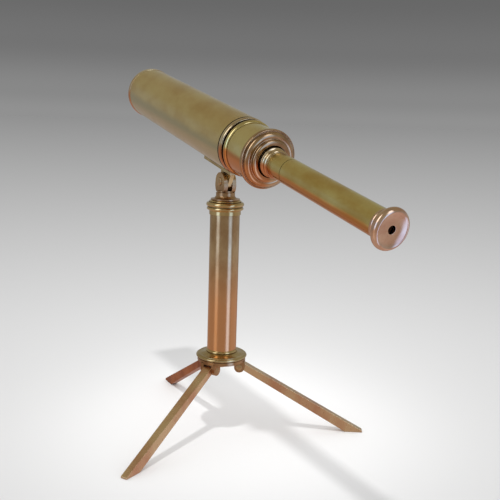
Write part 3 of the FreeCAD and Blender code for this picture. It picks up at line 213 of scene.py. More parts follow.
def aged_brass(name, place, clean, toned, roughness, grain, line_depth, corner_shade_and_grime=0.8, wear=0.0,
               painted_reflection=None, fade=None, grooves=(), shadow_radii=()):
    """Polished brass that has darkened with age: clean metal where it is rubbed, browner
    patches between, soiling and painted shade in the corners, and fine lines left by the lathe or the buff.
    Grain is the size of a line in millimetres along the local X, Y and Z, and wear is how deep
    the small dents are. Painted reflection is a tone, mostly redder, painted for what one side reflects, the
    side that it lies on, and where it starts and is full. Fade is a tone, full below the first of two
    stations along the local Z and gone above the second. Grooves are stations along the local Z that hold
    black soiling, and shadow radii are distances from it where a black line of painted shadow lies."""
    material, tree = new_material(name)
    position = local_position(tree, place)
    colour = tarnish_and_painted_reflection(tree, position, place, clean, toned, painted_reflection, fade)
    grime_and_shade = grime_and_painted_shade(tree, position, corner_shade_and_grime, grooves, shadow_radii)
    # Grime and painted shade darken the colour toward a near-black brown.
    colour = add(tree, "ShaderNodeMix", {0: grime_and_shade, 6: colour, 7: linear("#2C1D11")},
                 data_type="RGBA").outputs[2]
    # Finger smudges, about a centimetre across, dull the polish a little.
    smudges = stretched_noise(tree, position, (9, 9, 14), 3.0, 0.6)
    rubbed = add(tree, "ShaderNodeMapRange", {0: smudges, 1: 0.3, 2: 0.7, 3: roughness * 0.8,
                 4: roughness * 1.3}, interpolation_type=SMOOTH).outputs[0]
    rough = add(tree, "ShaderNodeMath", {0: rubbed, 1: grime_and_shade}, operation="ADD").outputs[0]
    lines = stretched_noise(tree, position, grain, 2.0, 0.6)
    scored = add(tree, "ShaderNodeMath", {0: lines, 1: line_depth}, operation="MULTIPLY").outputs[0]
    dents = stretched_noise(tree, position, (7, 7, 9), 1.0, 0.4)
    height = add(tree, "ShaderNodeMath", {0: dents, 1: wear, 2: scored}, operation="MULTIPLY_ADD").outputs[0]
    bump = add(tree, "ShaderNodeBump", {"Height": height, "Strength": 1.0, "Distance": MM}).outputs[0]
    shader = add(tree, "ShaderNodeBsdfPrincipled", {"Base Color": colour, "Metallic": 1.0,
                 "Roughness": rough, "Normal": bump})
    add(tree, "ShaderNodeOutputMaterial", {0: shader.outputs[0]})
    return material


def blackened_brass(name):
    """Brass dipped in a blackening bath: a dry black with a faint brown mottle."""
    material, tree = new_material(name)
    position = local_position(tree, Matrix.Identity(4))
    mottle = stretched_noise(tree, position, (1.5, 1.5, 1.5), 4.0, 0.6)
    colour = add(tree, "ShaderNodeMix", {0: mottle, 6: linear("#0C0A08"), 7: linear("#1E1812")},
                 data_type="RGBA").outputs[2]
    dry = add(tree, "ShaderNodeMapRange", {0: mottle, 1: 0.2, 2: 0.8, 3: 0.55, 4: 0.75},
              interpolation_type=SMOOTH).outputs[0]
    shader = add(tree, "ShaderNodeBsdfPrincipled", {"Base Color": colour, "Metallic": 0.2, "Roughness": dry})
    add(tree, "ShaderNodeOutputMaterial", {0: shader.outputs[0]})
    return material


def lens_glass(name, index_of_refraction):
    """Polished optical glass: clear, with a trace of dust on it."""
    material, tree = new_material(name)
    position = local_position(tree, Matrix.Identity(4))
    specks = stretched_noise(tree, position, (0.8, 0.8, 0.8), 4.0, 0.7)
    dust = add(tree, "ShaderNodeMapRange", {0: specks, 1: 0.55, 2: 0.85, 3: 0.0, 4: 0.12},
               interpolation_type=SMOOTH).outputs[0]
    shader = add(tree, "ShaderNodeBsdfPrincipled", {"Base Color": linear("#F1F6F3"),
                 "Roughness": dust, "IOR": index_of_refraction, "Transmission Weight": 1.0})
    add(tree, "ShaderNodeOutputMaterial", {0: shader.outputs[0]})
    return material


# ---------------------------------------------------------------- places
def aimed(point, direction):
    """A place with its Z along a direction."""
    turn = Vector(direction).to_track_quat("Z", "Y").to_matrix().to_4x4()
    return Matrix.Translation(point) @ turn


def middle(node):
    low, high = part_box(node)
    return (low + high) / 2


def reach(node, place):
    """A CAD piece's lowest and highest station and its smallest and largest radius about a place's Z,
    in millimetres."""
    inverse = place.inverted()
    points = [inverse @ vertex.co for vertex in nodes[node].data.vertices]
    stations = [point.z / MM for point in points]
    radii = [math.hypot(point.x, point.y) / MM for point in points]
    return min(stations), max(stations), min(radii), max(radii)


PILLAR = Matrix.Identity(4)
BARREL = aimed(middle("barrel_tube"), joints["focus_draw"]["axis"])
PIVOT = aimed(joints["tilt"]["pos_m"], (-1, 0, 0))

# ---------------------------------------------------------------- finishes
# The side that the painted reflections lie on: down and toward -X.
UNDERSIDE = (-0.62, 0, -0.78)
RING_BACK = reach("barrel_end_ring", BARREL)[0]
TUBE_BACK = reach("barrel_tube", BARREL)[0]
DRAW_BACK = reach("draw_tube", BARREL)[0]
FLANGE_FRONT = reach("tail_collar", BARREL)[0]
# The draw tube is joined from two lengths.
SEAM = DRAW_BACK + 113.9
RING_GROOVES = [(RING_BACK - 0.35, RING_BACK + 1.9), (RING_BACK - 5.9, RING_BACK - 5.4)]
# Size of the lathe's lines in millimetres, along the local X, Y and Z. These and the other fine lines
# are drawn coarser than real ones, so that they show.
TURNED = (30, 30, 0.35)
FINISH = {
    # Olive gold and a little dull, with a greyer reflection painted on its underside, and fine lines round it
    # from the polishing lathe.
    "barrel": aged_brass(
        "polished_drawn_brass_barrel", BARREL, "#DEC88E", "#D0B276", 0.2, (60, 60, 0.5), 0.005,
        painted_reflection=("#C2B690", UNDERSIDE, 0.5, 0.74), grooves=[(TUBE_BACK - 0.2, TUBE_BACK + 0.25)]),
    # Rubbed bright along its length by sliding, greenish gold above, with a copper reflection painted below.
    "draw": aged_brass(
        "rubbed_drawn_brass_draw_tube", BARREL, "#DDCD8A", "#CBAC64", 0.17, (0.5, 0.5, 40), 0.004,
        painted_reflection=("#C98A48", UNDERSIDE, 0.62, 0.86), grooves=[(SEAM - 0.25, SEAM + 0.25)]),
    # Bright beads and rims with black grime in the grooves between them, and a copper reflection painted on
    # their underside.
    "tail": aged_brass(
        "lathe_turned_brass_rings", BARREL, "#E4D2AC", "#C6A67A", 0.12, TURNED, 0.003,
        painted_reflection=("#CC8A5C", UNDERSIDE, 0.5, 0.75),
        grooves=[*RING_GROOVES, (FLANGE_FRONT - 0.3, FLANGE_FRONT + 0.4)]),
    # Clear gold like the barrel but brighter, with a cleanly edged copper reflection painted on its
    # underside.
    "sleeve": aged_brass(
        "lathe_turned_brass_sleeve", BARREL, "#E2D296", "#D0B670", 0.15, TURNED, 0.003,
        painted_reflection=("#D08A50", UNDERSIDE, 0.56, 0.7), grooves=RING_GROOVES),
    # Brown and less often cleaned than the rings, so that its mouldings read dark against light. A copper
    # reflection is painted on its underside.
    "flange": aged_brass(
        "lathe_turned_brass_flange", BARREL, "#C4A47C", "#947050", 0.15, TURNED, 0.003,
        painted_reflection=("#C28454", UNDERSIDE, 0.64, 0.86)),
    # Pinkish brown, softly polished by the eye and the fingers.
    "cap": aged_brass("lathe_turned_brass_eyecap", BARREL, "#DEBEA0", "#C8987E", 0.16, TURNED, 0.003),
    # Olive brown at the head, deepening to copper toward the foot, with bright upright streaks of light.
    "pillar": aged_brass(
        "polished_drawn_brass_pillar", PILLAR, "#CDB288", "#AC8A62", 0.17, (30, 30, 0.5), 0.004,
        fade=("#DCA472", 112, 172)),
    # Bright gold beads, their hollows darkened by grime and painted shade.
    "head": aged_brass("lathe_turned_brass_pillar", PILLAR, "#DCC490", "#C0A068", 0.14, TURNED, 0.003),
    # The same metal, duller where dust and hands have been.
    "base": aged_brass("lathe_turned_brass_base", PILLAR, "#D2BC8C", "#B49A68", 0.24, TURNED, 0.003),
    # Brown and seldom polished.
    "bracket": aged_brass(
        "lathe_turned_brass_bracket", PILLAR, "#C09A70", "#8E6A48", 0.2, (5, 5, 5), 0.006, corner_shade_and_grime=0.2),
    # Flat faces drawn with a file: soft and brownish, with grime and painted shade in its corners.
    "knuckle": aged_brass(
        "filed_brass_knuckle", PIVOT, "#CCAC80", "#A47E58", 0.26, (0.6, 12, 12), 0.006, corner_shade_and_grime=0.6),
    # Olive gold, with a black line of painted shadow where it meets the barrel.
    "saddle": aged_brass(
        "filed_brass_saddle", BARREL, "#DCC898", "#B4966A", 0.2, (12, 12, 0.6), 0.006, shadow_radii=[(25, 27.5)]),
    # Pale gold bars with a pitted, hand-worn surface that glitters a little.
    "leg": aged_brass(
        "filed_brass_bar", PILLAR, "#EED0A4", "#DAA482", 0.24, (2, 2, 2), 0.03, corner_shade_and_grime=0.4, wear=0.09),
    # The same bar, tarnished to a deep orange brown.
    "brown_leg": aged_brass(
        "browned_filed_brass_bar", PILLAR, "#C87A42", "#964E24", 0.26, (2, 2, 2), 0.03, wear=0.09),
    # Plain gold as the lathe left it, out of sight.
    "raw": aged_brass("machined_brass", PILLAR, "#C8A25C", "#9A7436", 0.3, (8, 8, 0.4), 0.01),
    "black": blackened_brass("blackened_brass"),
    "crown": lens_glass("crown_glass", 1.52),
    "flint": lens_glass("flint_glass", 1.62),
}


# ---------------------------------------------------------------- piece helpers
def finish_piece(name, shape, body, finish, stands_for):
    """Turns a finished bmesh into an object with soft shading that rides on a body."""
    mesh = bpy.data.meshes.new(name)
    shape.to_mesh(mesh)
    shape.free()
    mesh.polygons.foreach_set("use_smooth", [True] * len(mesh.polygons))
    mesh.set_sharp_from_angle(angle=SHARP_ANGLE)
    mesh.materials.append(FINISH[finish])
    piece = bpy.data.objects.new(name, mesh)
    scene.collection.objects.link(piece)
    weighted = piece.modifiers.new("weighted_normals", "WEIGHTED_NORMAL")
    weighted.keep_sharp = True
    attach(piece, body)
    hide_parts(*stands_for)
    return piece


def arc(start, end, rise, count=9):
    """Points of a shallow arc between two (radius, station) corners, bowed by rise to the left
    of the way from start to end."""
    start = Vector(start)
    end = Vector(end)
    chord = end - start
    left = Vector((-chord.y, chord.x)).normalized()
    radius = (chord.length_squared / 4 + rise ** 2) / (2 * abs(rise))
    side = math.copysign(1, rise)
    centre = (start + end) / 2 + left * (rise - side * radius)
    half = math.asin(min(chord.length / 2 / radius, 1))
    if abs(rise) > chord.length / 2:
        half = math.pi - half
    points = []
    for step in range(1, count + 1):
        angle = half * (2 * step / (count + 1) - 1)
        outward = left * side * math.cos(angle) + chord.normalized() * math.sin(angle)
        points.append(tuple(centre + outward * radius))
    return [tuple(start)] + points + [tuple(end)]


def spin_outline(shape, outline, steps=TURN_STEPS):
    """Turns an outline of (radius, station) or (radius, station, rounding) corners round Z."""
    corners = [shape.verts.new((item[0] * MM, 0, item[1] * MM)) for item in outline]
    for first, second in zip(corners, corners[1:]):
        shape.edges.new((first, second))
    if outline[0][0] > 0:
        shape.edges.new((corners[-1], corners[0]))
    for rounding in sorted({item[2] for item in outline if len(item) == 3}):
        rounded = [corner for corner, item in zip(corners, outline) if item[2:] == (rounding,)]
        bmesh.ops.bevel(shape, geom=rounded, offset=rounding * MM, offset_type="OFFSET", affect="VERTICES",
                        segments=ROUND_SEGMENTS, profile=0.5, material=-1, clamp_overlap=True)
    bmesh.ops.spin(shape, geom=shape.verts[:] + shape.edges[:], cent=(0, 0, 0), axis=(0, 0, 1),
                   angle=math.tau, steps=steps, use_merge=True)
    bmesh.ops.remove_doubles(shape, verts=shape.verts[:], dist=MERGE_DISTANCE)
    bmesh.ops.recalc_face_normals(shape, faces=shape.faces[:])


def turned(name, place, outline, body, finish, stands_for, steps=TURN_STEPS):
    """A piece made on a lathe."""
    shape = bmesh.new()
    spin_outline(shape, outline, steps)
    bmesh.ops.transform(shape, matrix=place, verts=shape.verts[:])
    return finish_piece(name, shape, body, finish, stands_for)


def softened(node, body, finish, edge):
    """A copy of a CAD piece with its sharp edges rounded as filing and polishing leave them."""
    shape = bmesh.new()
    shape.from_mesh(nodes[node].data)
    bmesh.ops.remove_doubles(shape, verts=shape.verts[:], dist=MERGE_DISTANCE)
    bmesh.ops.dissolve_limit(shape, angle_limit=FLAT_ANGLE, verts=shape.verts[:], edges=shape.edges[:])
    sharp = [line for line in shape.edges if line.is_manifold and line.calc_face_angle() > SHARP_ANGLE]
    bmesh.ops.bevel(shape, geom=sharp, offset=edge * MM, offset_type="OFFSET", affect="EDGES", segments=3,
                    profile=0.5, material=-1, clamp_overlap=True)
    return finish_piece(node + "_worn", shape, body, finish, [node])


# ---------------------------------------------------------------- stand
# One leg has tarnished much browner than the other two.
LEG_FINISH = {"front": "brown_leg", "left": "leg", "right": "leg"}


def make_base():
    """The moulded disc over the legs, and the bead between it and the pillar."""
    disc_low, disc_high, disc_bore, disc_radius = reach("base_disc", PILLAR)
    ring_low, ring_high, ring_bore, ring_radius = reach("pillar_foot_ring", PILLAR)
    edge = disc_low + 2.8
    turned("base_moulding", PILLAR, [
        (disc_bore, disc_low),
        (disc_radius - 1.0, disc_low, 0.2),
        (disc_radius - 0.9, disc_low + 0.5, 0.2),
        (disc_radius, disc_low + 0.75, 0.5),
        (disc_radius, edge - 0.5, 1.0),
        (disc_radius - 1.5, edge, 0.3),
        (disc_radius - 1.7, edge, 0.1),
        (disc_radius - 1.8, edge + 0.45, 0.3),
        (disc_radius - 2.4, edge + 0.5, 0.3),
        *arc((disc_radius - 3.0, edge + 0.35), (ring_radius - 0.2, disc_high - 0.15), 0.25)[1:],
        (ring_radius - 0.6, disc_high, 0.1),
        (disc_bore, disc_high),
    ], "stand", "base", ["base_disc"])
    turned("pillar_foot_bead", PILLAR, [
        (ring_bore, ring_low),
        (ring_radius - 0.65, ring_low),
        *arc((ring_radius - 0.65, ring_low), (ring_radius - 0.65, ring_high - 0.5), -0.65),
        (ring_bore + 0.1, ring_high, 0.1),
        (ring_bore, ring_high),
    ], "stand", "head", ["pillar_foot_ring"])


def make_pillar():
    """The tube, and its head of a band, two beads and a crown ring."""
    low, high, bore, radius = reach("pillar_tube", PILLAR)
    turned("pillar", PILLAR, [(bore, low), (radius, low, 0.2), (radius, high, 0.2), (bore, high)],
           "stand", "pillar", ["pillar_tube"])
    head_low, head_high, stem_bore, head_radius = reach("pillar_head", PILLAR)
    band = 14.4
    valley = 15.5
    crown_foot = 13.9
    crown_rim = 14.8
    crown_top = 12.9
    lower_bead = (high + 4.2, high + 6.9)
    upper_bead = (high + 7.3, high + 11.4)
    turned("pillar_capital", PILLAR, [
        (stem_bore, head_low),
        (bore - FIT, head_low, 0.5),
        (bore - FIT, high),
        (band, high, 0.15),
        (band, high + 3.5, 0.2),
        *arc((valley, lower_bead[0]), (valley, lower_bead[1]), -1.2),
        *arc((valley, upper_bead[0]), (valley, upper_bead[1]), valley - head_radius),
        (crown_foot, upper_bead[1] + 0.1, 0.1),
        (crown_rim, upper_bead[1] + 0.45, 0.3),
        (crown_rim - 0.1, upper_bead[1] + 1.1, 0.4),
        (crown_top, head_high, 0.3),
        (stem_bore, head_high),
    ], "stand", "head", ["pillar_head"])


def make_legs():
    """The bracket plate, three legs on riveted pins, and the nut that holds the plate up."""
    softened("leg_bracket_plate", "stand", "bracket", edge=0.35)
    shank = 1.7
    rim = 0.35
    for side in ("front", "left", "right"):
        softened("leg_" + side, "leg_" + side, LEG_FINISH[side], edge=0.4)
        joint = joints["fold_" + side]
        place = aimed(joint["pos_m"], joint["axis"])
        low, high, _, radius = reach("hinge_pin_" + side, place)
        turned("hinge_rivet_" + side, place, [
            (0, low),
            *arc((0, low), (radius, low + rim), -0.1, count=4)[1:],
            (shank, low + rim),
            (shank, high - rim),
            *arc((radius, high - rim), (0, high), -0.1, count=4),
        ], "stand", "knuckle", ["hinge_pin_" + side], steps=32)
    softened("tie_nut", "stand", "raw", edge=0.3)


make_base()
make_pillar()
make_legs()


# ---------------------------------------------------------------- swivel and saddle
def make_knuckle():
    """The fork, the screw and nut that the barrel tilts on, and the saddle under the barrel."""
    softened("swivel_fork", "swivel", "knuckle", edge=0.45)
    low, high, _, radius = reach("tilt_screw", PIVOT)
    shank = 2.2
    head = high - 1
    turned("tilt_screw_head", PIVOT, [
        (0, low),
        (shank, low),
        (shank, head),
        (radius, head, 0.15),
        (radius, high - 0.5, 0.3),
        *arc((radius - 0.5, high - 0.25), (0, high), -0.12, count=4),
    ], "swivel", "knuckle", ["tilt_screw"], steps=48)
    low, high, _, radius = reach("tilt_nut", PIVOT)
    turned("tilt_screw_nut", PIVOT, [
        (0, low),
        *arc((0, low), (radius - 0.5, low + 0.25), -0.12, count=4)[1:],
        (radius, low + 0.5, 0.3),
        (radius, high, 0.15),
        (0, high),
    ], "swivel", "knuckle", ["tilt_nut"], steps=48)
    softened("saddle", "barrel", "saddle", edge=0.35)


make_knuckle()


# ---------------------------------------------------------------- barrel
def make_barrel():
    """The main tube, and the rim that holds the object glass."""
    low, high, bore, radius = reach("barrel_tube", BARREL)
    turned("main_tube", BARREL, [(bore, low), (radius, low, 0.15), (radius, high, 0.15), (bore, high)],
           "barrel", "barrel", ["barrel_tube"])
    rim_low, rim_high, lip, rim = reach("objective_bezel", BARREL)
    turned("objective_rim", BARREL, [
        (lip, rim_low),
        (lip + 1.2, rim_low),
        (lip + 1.2, high),
        (rim - 0.4, high, 0.1),
        (rim, high + 0.35, 0.2),
        (rim, rim_high, 0.8),
        (lip + 1.4, rim_high, 0.5),
        (lip, rim_high - 2.2, 0.5),
    ], "barrel", "tail", ["objective_bezel"])


def make_tail_sleeve():
    """The bead that closes the main tube, and the narrower sleeve behind it with a bead of its own."""
    low, _, bore, radius = reach("barrel_tube", BARREL)
    ring_low, ring_high, ring_bore, ring_radius = reach("barrel_end_ring", BARREL)
    groove = radius - 1.0
    bead_foot = radius - 0.5
    bead_back = low - 4.7
    turned("barrel_rear_bead", BARREL, [
        (ring_bore, ring_low),
        (groove, ring_low),
        (groove, bead_back, 0.3),
        *arc((bead_foot, bead_back), (bead_foot, low), bead_foot - ring_radius),
        (bore - FIT, low),
        (bore - FIT, ring_high),
        (ring_bore, ring_high),
    ], "barrel", "tail", ["barrel_end_ring"])
    collar_low, collar_high, collar_bore, collar_radius = reach("tail_collar", BARREL)
    sleeve = 23.3
    second_bead = (ring_low - 5.5, ring_low)
    turned("tail_sleeve", BARREL, [
        (collar_bore, collar_low),
        (sleeve, collar_low),
        (sleeve, second_bead[0] - 0.25, 0.1),
        (sleeve - 0.2, second_bead[0] - 0.1),
        *arc((sleeve, second_bead[0]), (sleeve, second_bead[1]), sleeve - collar_radius),
        (ring_bore - FIT, second_bead[1]),
        (ring_bore - FIT, collar_high),
        (collar_bore, collar_high),
    ], "barrel", "sleeve", ["tail_collar"])


def make_tail_flange():
    """The moulded flange at the tail: a rim, a swelling ogee, a cove and a raised ring round the mouth."""
    low, high, mouth, radius = reach("tail_flange", BARREL)
    front, _, collar_bore, _ = reach("tail_collar", BARREL)
    seat = collar_bore - 2
    mouth_ring = 17.7
    shoulder = 23.4
    rim_back = low + 6.7
    turned("tail_moulding", BARREL, [
        (seat, high),
        (seat, front - 1.5),
        (mouth, front - 2.5, 0.3),
        (mouth, low, 0.5),
        (mouth_ring - 1.6, low, 1.0),
        (mouth_ring, low + 0.6, 1.0),
        (mouth_ring + 0.2, low + 3.0, 0.5),
        (mouth_ring + 0.7, low + 3.3, 0.3),
        *arc((mouth_ring + 1.4, low + 3.1), (shoulder, low + 5.9), -1.15),
        (shoulder, rim_back - 0.1, 0.15),
        (shoulder + 0.7, rim_back - 0.1, 0.15),
        (shoulder + 0.9, rim_back - 0.35, 0.12),
        (shoulder + 1.5, rim_back - 0.35, 0.2),
        (radius, rim_back + 0.3, 0.35),
        (radius, front - 3.2, 0.3),
        (radius - 0.6, front - 2.6, 0.15),
        *arc((radius - 0.8, front - 2.5), (shoulder, front), 0.5),
        (collar_bore - FIT, front),
        (collar_bore - FIT, high),
    ], "barrel", "flange", ["tail_flange"])


def make_draw_guide():
    """The short tube that the draw tube slides in, with a thin rim and, inside, a plate that holds it."""
    guide_low, guide_high, guide_bore, plate_radius = reach("draw_guide", BARREL)
    plate = reach("tail_flange", BARREL)[1]
    lip = guide_bore + 0.34
    guide = 12.0
    rim = 12.55
    rim_station = guide_low + 6.9
    turned("draw_tube_guide", BARREL, [
        (guide_bore, guide_low),
        (lip, guide_low, 0.15),
        (lip, guide_low + 1.2),
        *arc((lip, guide_low + 1.2), (lip, guide_low + 4.4), -0.95),
        *arc((lip, guide_low + 4.6), (guide + 0.1, rim_station - 0.2), 0.45),
        (rim, rim_station, 0.2),
        (rim, rim_station + 0.9, 0.2),
        (guide, rim_station + 1.6),
        (guide, plate),
        (plate_radius, plate),
        (plate_radius, plate + 2.5),
        (guide, plate + 2.5),
        (guide, guide_high),
        (guide_bore, guide_high),
    ], "barrel", "tail", ["draw_guide"])


make_barrel()
make_tail_sleeve()
make_tail_flange()
make_draw_guide()


# ---------------------------------------------------------------- draw tube
def make_draw_tube():
    """The sliding tube, with a fine seam where its two lengths meet."""
    low, high, bore, radius = reach("draw_tube", BARREL)
    turned("sliding_tube", BARREL, [
        (bore, low),
        (radius, low),
        (radius, SEAM - 0.2),
        (radius - 0.15, SEAM),
        (radius, SEAM + 0.2),
        (radius, high, 0.2),
        (bore, high),
    ], "draw", "draw", ["draw_tube"])


def make_eyepiece_end():
    """The bead that closes the draw tube, and the dished cap with the eye hole."""
    low, _, bore, radius = reach("draw_tube", BARREL)
    collar_low, collar_high, collar_bore, collar_radius = reach("eyepiece_collar", BARREL)
    bead = (low - 3.3, low)
    turned("eyepiece_bead", BARREL, [
        (collar_bore, collar_low),
        (radius + 0.2, collar_low),
        *arc((radius + 0.2, collar_low), (radius + 0.2, bead[0]), 0.5)[1:-1],
        *arc((radius + 0.1, bead[0]), (radius + 0.1, bead[1]), radius + 0.1 - collar_radius),
        (bore - FIT, low),
        (bore - FIT, collar_high),
        (collar_bore, collar_high),
    ], "draw", "cap", ["eyepiece_collar"])
    cap_low, cap_high, hole, cap = reach("eyecap", BARREL)
    dish = 12.2
    lip = cap_low + 0.15
    inside = cap_low + 3.3
    turned("eyecap_face", BARREL, [
        (hole, inside),
        (hole, cap_low + 1.5, 0.25),
        *arc((hole + 0.3, cap_low + 1.47), (dish, cap_low + 0.35), 0.35),
        (dish + 0.3, lip, 0.3),
        *arc((dish + 0.6, lip), (cap - 1.6, cap_high), -2.1, count=16),
        (collar_bore, cap_high),
        (collar_bore, inside),
    ], "draw", "cap", ["eyecap"])


make_draw_tube()
make_eyepiece_end()

# ---------------------------------------------------------------- CAD pieces that keep their shape
KEPT = {
    "raw": ["pillar_foot_plug", "tie_washer", "swivel_nut", "swivel_washer", "knuckle_washers",
            "saddle_backing_strip", "draw_stop_ring"],
    "knuckle": ["saddle_screws"],
    "black": ["objective_cell", "glare_stop", "erector_tube", "eyepiece_tube", "erector_ring_front",
              "erector_ring_back", "field_lens_ring", "eye_lens_ring", "field_stop"],
    "crown": ["crown_lens", "erector_lens_front", "erector_lens_back", "field_lens", "eye_lens"],
    "flint": ["flint_lens"],
}
for finish, names in KEPT.items():
    for name in names:
        nodes[name].data.materials.clear()
        nodes[name].data.materials.append(FINISH[finish])

# ---------------------------------------------------------------- floor and light
FLOOR_RADIUS = 40.0
# How much light the open floor gets from all round and from the lamp, and the greys that it shows
# under both.
SOFT_LIGHT = 0.9
KEY_SHARE = 0.27
HORIZON_GREY = 0.27
# The pools of light below are painted into the floor's colour: their greys, centres and sizes.
POOL_GREY = 0.626
POOL_CENTRE = (0.097, 0.119, 0)
POOL_SIZE = 0.88
SPOT_GREY = 0.3
SPOT_CENTRE = (0.009, -0.02, 0)
SPOT_SIZE = 0.17


def add_floor():
    """A pale floor with a painted pool of light, wide and slow, and a small, steep-edged one painted in it,
    which fade to the grey of the backdrop with distance."""
    shape = bmesh.new()
    bmesh.ops.create_circle(shape, cap_ends=True, segments=96, radius=FLOOR_RADIUS)
    mesh = bpy.data.meshes.new("floor")
    shape.to_mesh(mesh)
    shape.free()
    floor = bpy.data.objects.new("floor", mesh)
    scene.collection.objects.link(floor)
    material, tree = new_material("pale_painted_floor")
    position = add(tree, "ShaderNodeTexCoord").outputs["Object"]
    total = HORIZON_GREY
    pools = [(POOL_GREY, POOL_CENTRE, POOL_SIZE, 1), (SPOT_GREY, SPOT_CENTRE, SPOT_SIZE, 4)]
    for grey, centre, size, power in pools:
        distance = add(tree, "ShaderNodeVectorMath", {0: position, 1: centre},
                       operation="DISTANCE").outputs["Value"]
        share = add(tree, "ShaderNodeMath", {0: distance, 1: 1 / size}, operation="MULTIPLY").outputs[0]
        steep = add(tree, "ShaderNodeMath", {0: share, 1: power}, operation="POWER").outputs[0]
        near = add(tree, "ShaderNodeMath", {0: steep, 1: 1.0}, operation="ADD").outputs[0]
        pool = add(tree, "ShaderNodeMath", {0: grey, 1: near}, operation="DIVIDE").outputs[0]
        total = add(tree, "ShaderNodeMath", {0: pool, 1: total}, operation="ADD").outputs[0]
    grey = add(tree, "ShaderNodeMath", {0: total, 1: 1 / (SOFT_LIGHT + KEY_SHARE)}, operation="MULTIPLY")
    paint = add(tree, "ShaderNodeBsdfDiffuse", {"Color": grey.outputs[0]})
    add(tree, "ShaderNodeOutputMaterial", {0: paint.outputs[0]})
    mesh.materials.append(material)
    floor.visible_glossy = False


def add_key_light():
    """A distant lamp high in front, on the left: it casts the light, fairly crisp shadows on the floor."""
    light = bpy.data.lights.new("key_light", "SUN")
    direction = Vector((-0.175, -0.174, 0.969))
    light.angle = math.radians(3.5)
    light.energy = KEY_SHARE * math.pi / direction.z
    lamp = bpy.data.objects.new("key_light", light)
    scene.collection.objects.link(lamp)
    lamp.matrix_world = aimed((0, 0, 1), direction)
    lamp.visible_glossy = False


def height_of(degrees):
    """The Z of a direction that many degrees above the horizon."""
    return math.sin(math.radians(degrees))


def softbox(tree, heading, height, centre, width, low, high, colour, strength):
    """Light from an upright panel: centre and width in degrees round the horizon, low and high in
    degrees above it, with soft edges."""
    edge = 7
    turn = math.radians(centre)
    across = add(tree, "ShaderNodeVectorMath", {0: heading, 1: (math.cos(turn), math.sin(turn), 0)},
                 operation="DOT_PRODUCT").outputs["Value"]
    outer = math.cos(math.radians(width / 2 + edge))
    inner = math.cos(math.radians(max(width / 2 - edge, 0)))
    wide = add(tree, "ShaderNodeMapRange", {0: across, 1: outer, 2: inner},
               interpolation_type=SMOOTH).outputs[0]
    above = add(tree, "ShaderNodeMapRange", {0: height, 1: height_of(low - edge), 2: height_of(low + edge)},
                interpolation_type=SMOOTH).outputs[0]
    below = add(tree, "ShaderNodeMapRange", {0: height, 1: height_of(high - edge), 2: height_of(high + edge),
                3: 1.0, 4: 0.0}, interpolation_type=SMOOTH).outputs[0]
    tall = add(tree, "ShaderNodeMath", {0: above, 1: below}, operation="MULTIPLY").outputs[0]
    area = add(tree, "ShaderNodeMath", {0: wide, 1: tall}, operation="MULTIPLY").outputs[0]
    power = add(tree, "ShaderNodeMath", {0: area, 1: strength}, operation="MULTIPLY").outputs[0]
    return add(tree, "ShaderNodeVectorMath", {0: colour, "Scale": power}, operation="SCALE").outputs[0]


def bands(tree, height, levels):
    """A colour for each height above the horizon: (degrees, colour) pairs, blended between."""
    colour = [*levels[0][1], 1]
    for (low, _), (high, above) in zip(levels, levels[1:]):
        share = add(tree, "ShaderNodeMapRange", {0: height, 1: height_of(low), 2: height_of(high)},
                    interpolation_type=SMOOTH).outputs[0]
        colour = add(tree, "ShaderNodeMix", {0: share, 6: colour, 7: [*above, 1]},
                     data_type="RGBA").outputs[2]
    return colour


# What the metal mirrors: degrees above the horizon and the light there, warm below and above,
# cooler near the horizon.
ROOM = [(-45, (0.54, 0.43, 0.40)), (-25, (0.42, 0.34, 0.30)), (-15, (0.45, 0.37, 0.33)),
        (-7, (0.34, 0.33, 0.31)), (8, (0.35, 0.36, 0.37)), (28, (0.34, 0.33, 0.27)),
        (50, (0.33, 0.30, 0.22)), (80, (0.28, 0.26, 0.20))]
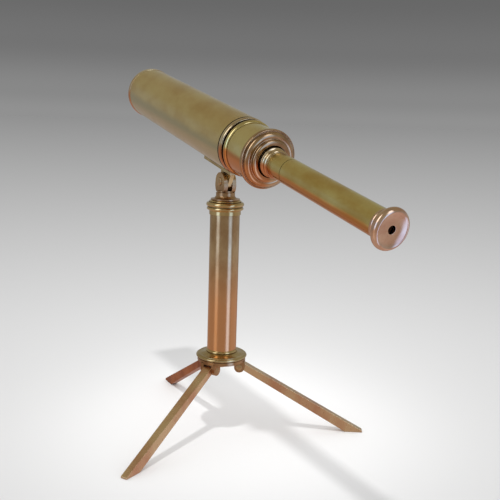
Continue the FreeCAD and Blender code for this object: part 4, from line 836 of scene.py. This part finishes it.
# Centre and width round the horizon, low and high edge, colour and strength of each soft panel.
PANELS = [
    (190, 18, -9, 20, (1.1, 1.8, 3.2), 0.85),
    (190, 20, -60, -8, (1.0, 0.82, 0.6), 0.3),
    (190, 24, 22, 58, (0.95, 1.0, 1.15), 2.2),
    (287, 20, -60, 20, (0.52, 0.95, 2.0), 1.0),
    (287, 20, 22, 55, (0.9, 1.0, 1.3), 1.8),
    (345, 60, -60, 10, (0.8, 0.9, 1.2), 0.12),
]
# The backdrop's grey by degrees above the horizon.
BACKDROP = [(0, 0.283), (1.5, 0.246), (5, 0.171), (9, 0.136), (40, 0.10)]


def add_surroundings():
    """A room of soft panels for the metal to mirror, even light for the floor, and a grey backdrop."""
    world = bpy.data.worlds.new("soft_studio")
    scene.world = world
    world.use_nodes = True
    tree = world.node_tree
    tree.nodes.clear()
    direction = add(tree, "ShaderNodeTexCoord").outputs["Generated"]
    height = add(tree, "ShaderNodeSeparateXYZ", {0: direction}).outputs[2]
    flat = add(tree, "ShaderNodeVectorMath", {0: direction, 1: (1, 1, 0)}, operation="MULTIPLY").outputs[0]
    heading = add(tree, "ShaderNodeVectorMath", {0: flat}, operation="NORMALIZE").outputs[0]
    room = bands(tree, height, ROOM)
    for panel in PANELS:
        glow = softbox(tree, heading, height, *panel)
        room = add(tree, "ShaderNodeVectorMath", {0: room, 1: glow}, operation="ADD").outputs[0]
    backdrop = bands(tree, height, [(degrees, (grey,) * 3) for degrees, grey in BACKDROP])
    ray = add(tree, "ShaderNodeLightPath")
    soft = add(tree, "ShaderNodeBackground", {"Color": (SOFT_LIGHT,) * 3 + (1,)})
    mirror = add(tree, "ShaderNodeBackground", {"Color": room})
    seen = add(tree, "ShaderNodeBackground", {"Color": backdrop})
    light = add(tree, "ShaderNodeMixShader", {0: ray.outputs["Is Glossy Ray"], 1: soft.outputs[0],
                2: mirror.outputs[0]})
    final = add(tree, "ShaderNodeMixShader", {0: ray.outputs["Is Camera Ray"], 1: light.outputs[0],
                2: seen.outputs[0]})
    add(tree, "ShaderNodeOutputWorld", {0: final.outputs[0]})


add_floor()
add_key_light()
add_surroundings()
scene.view_settings.view_transform = "Standard"
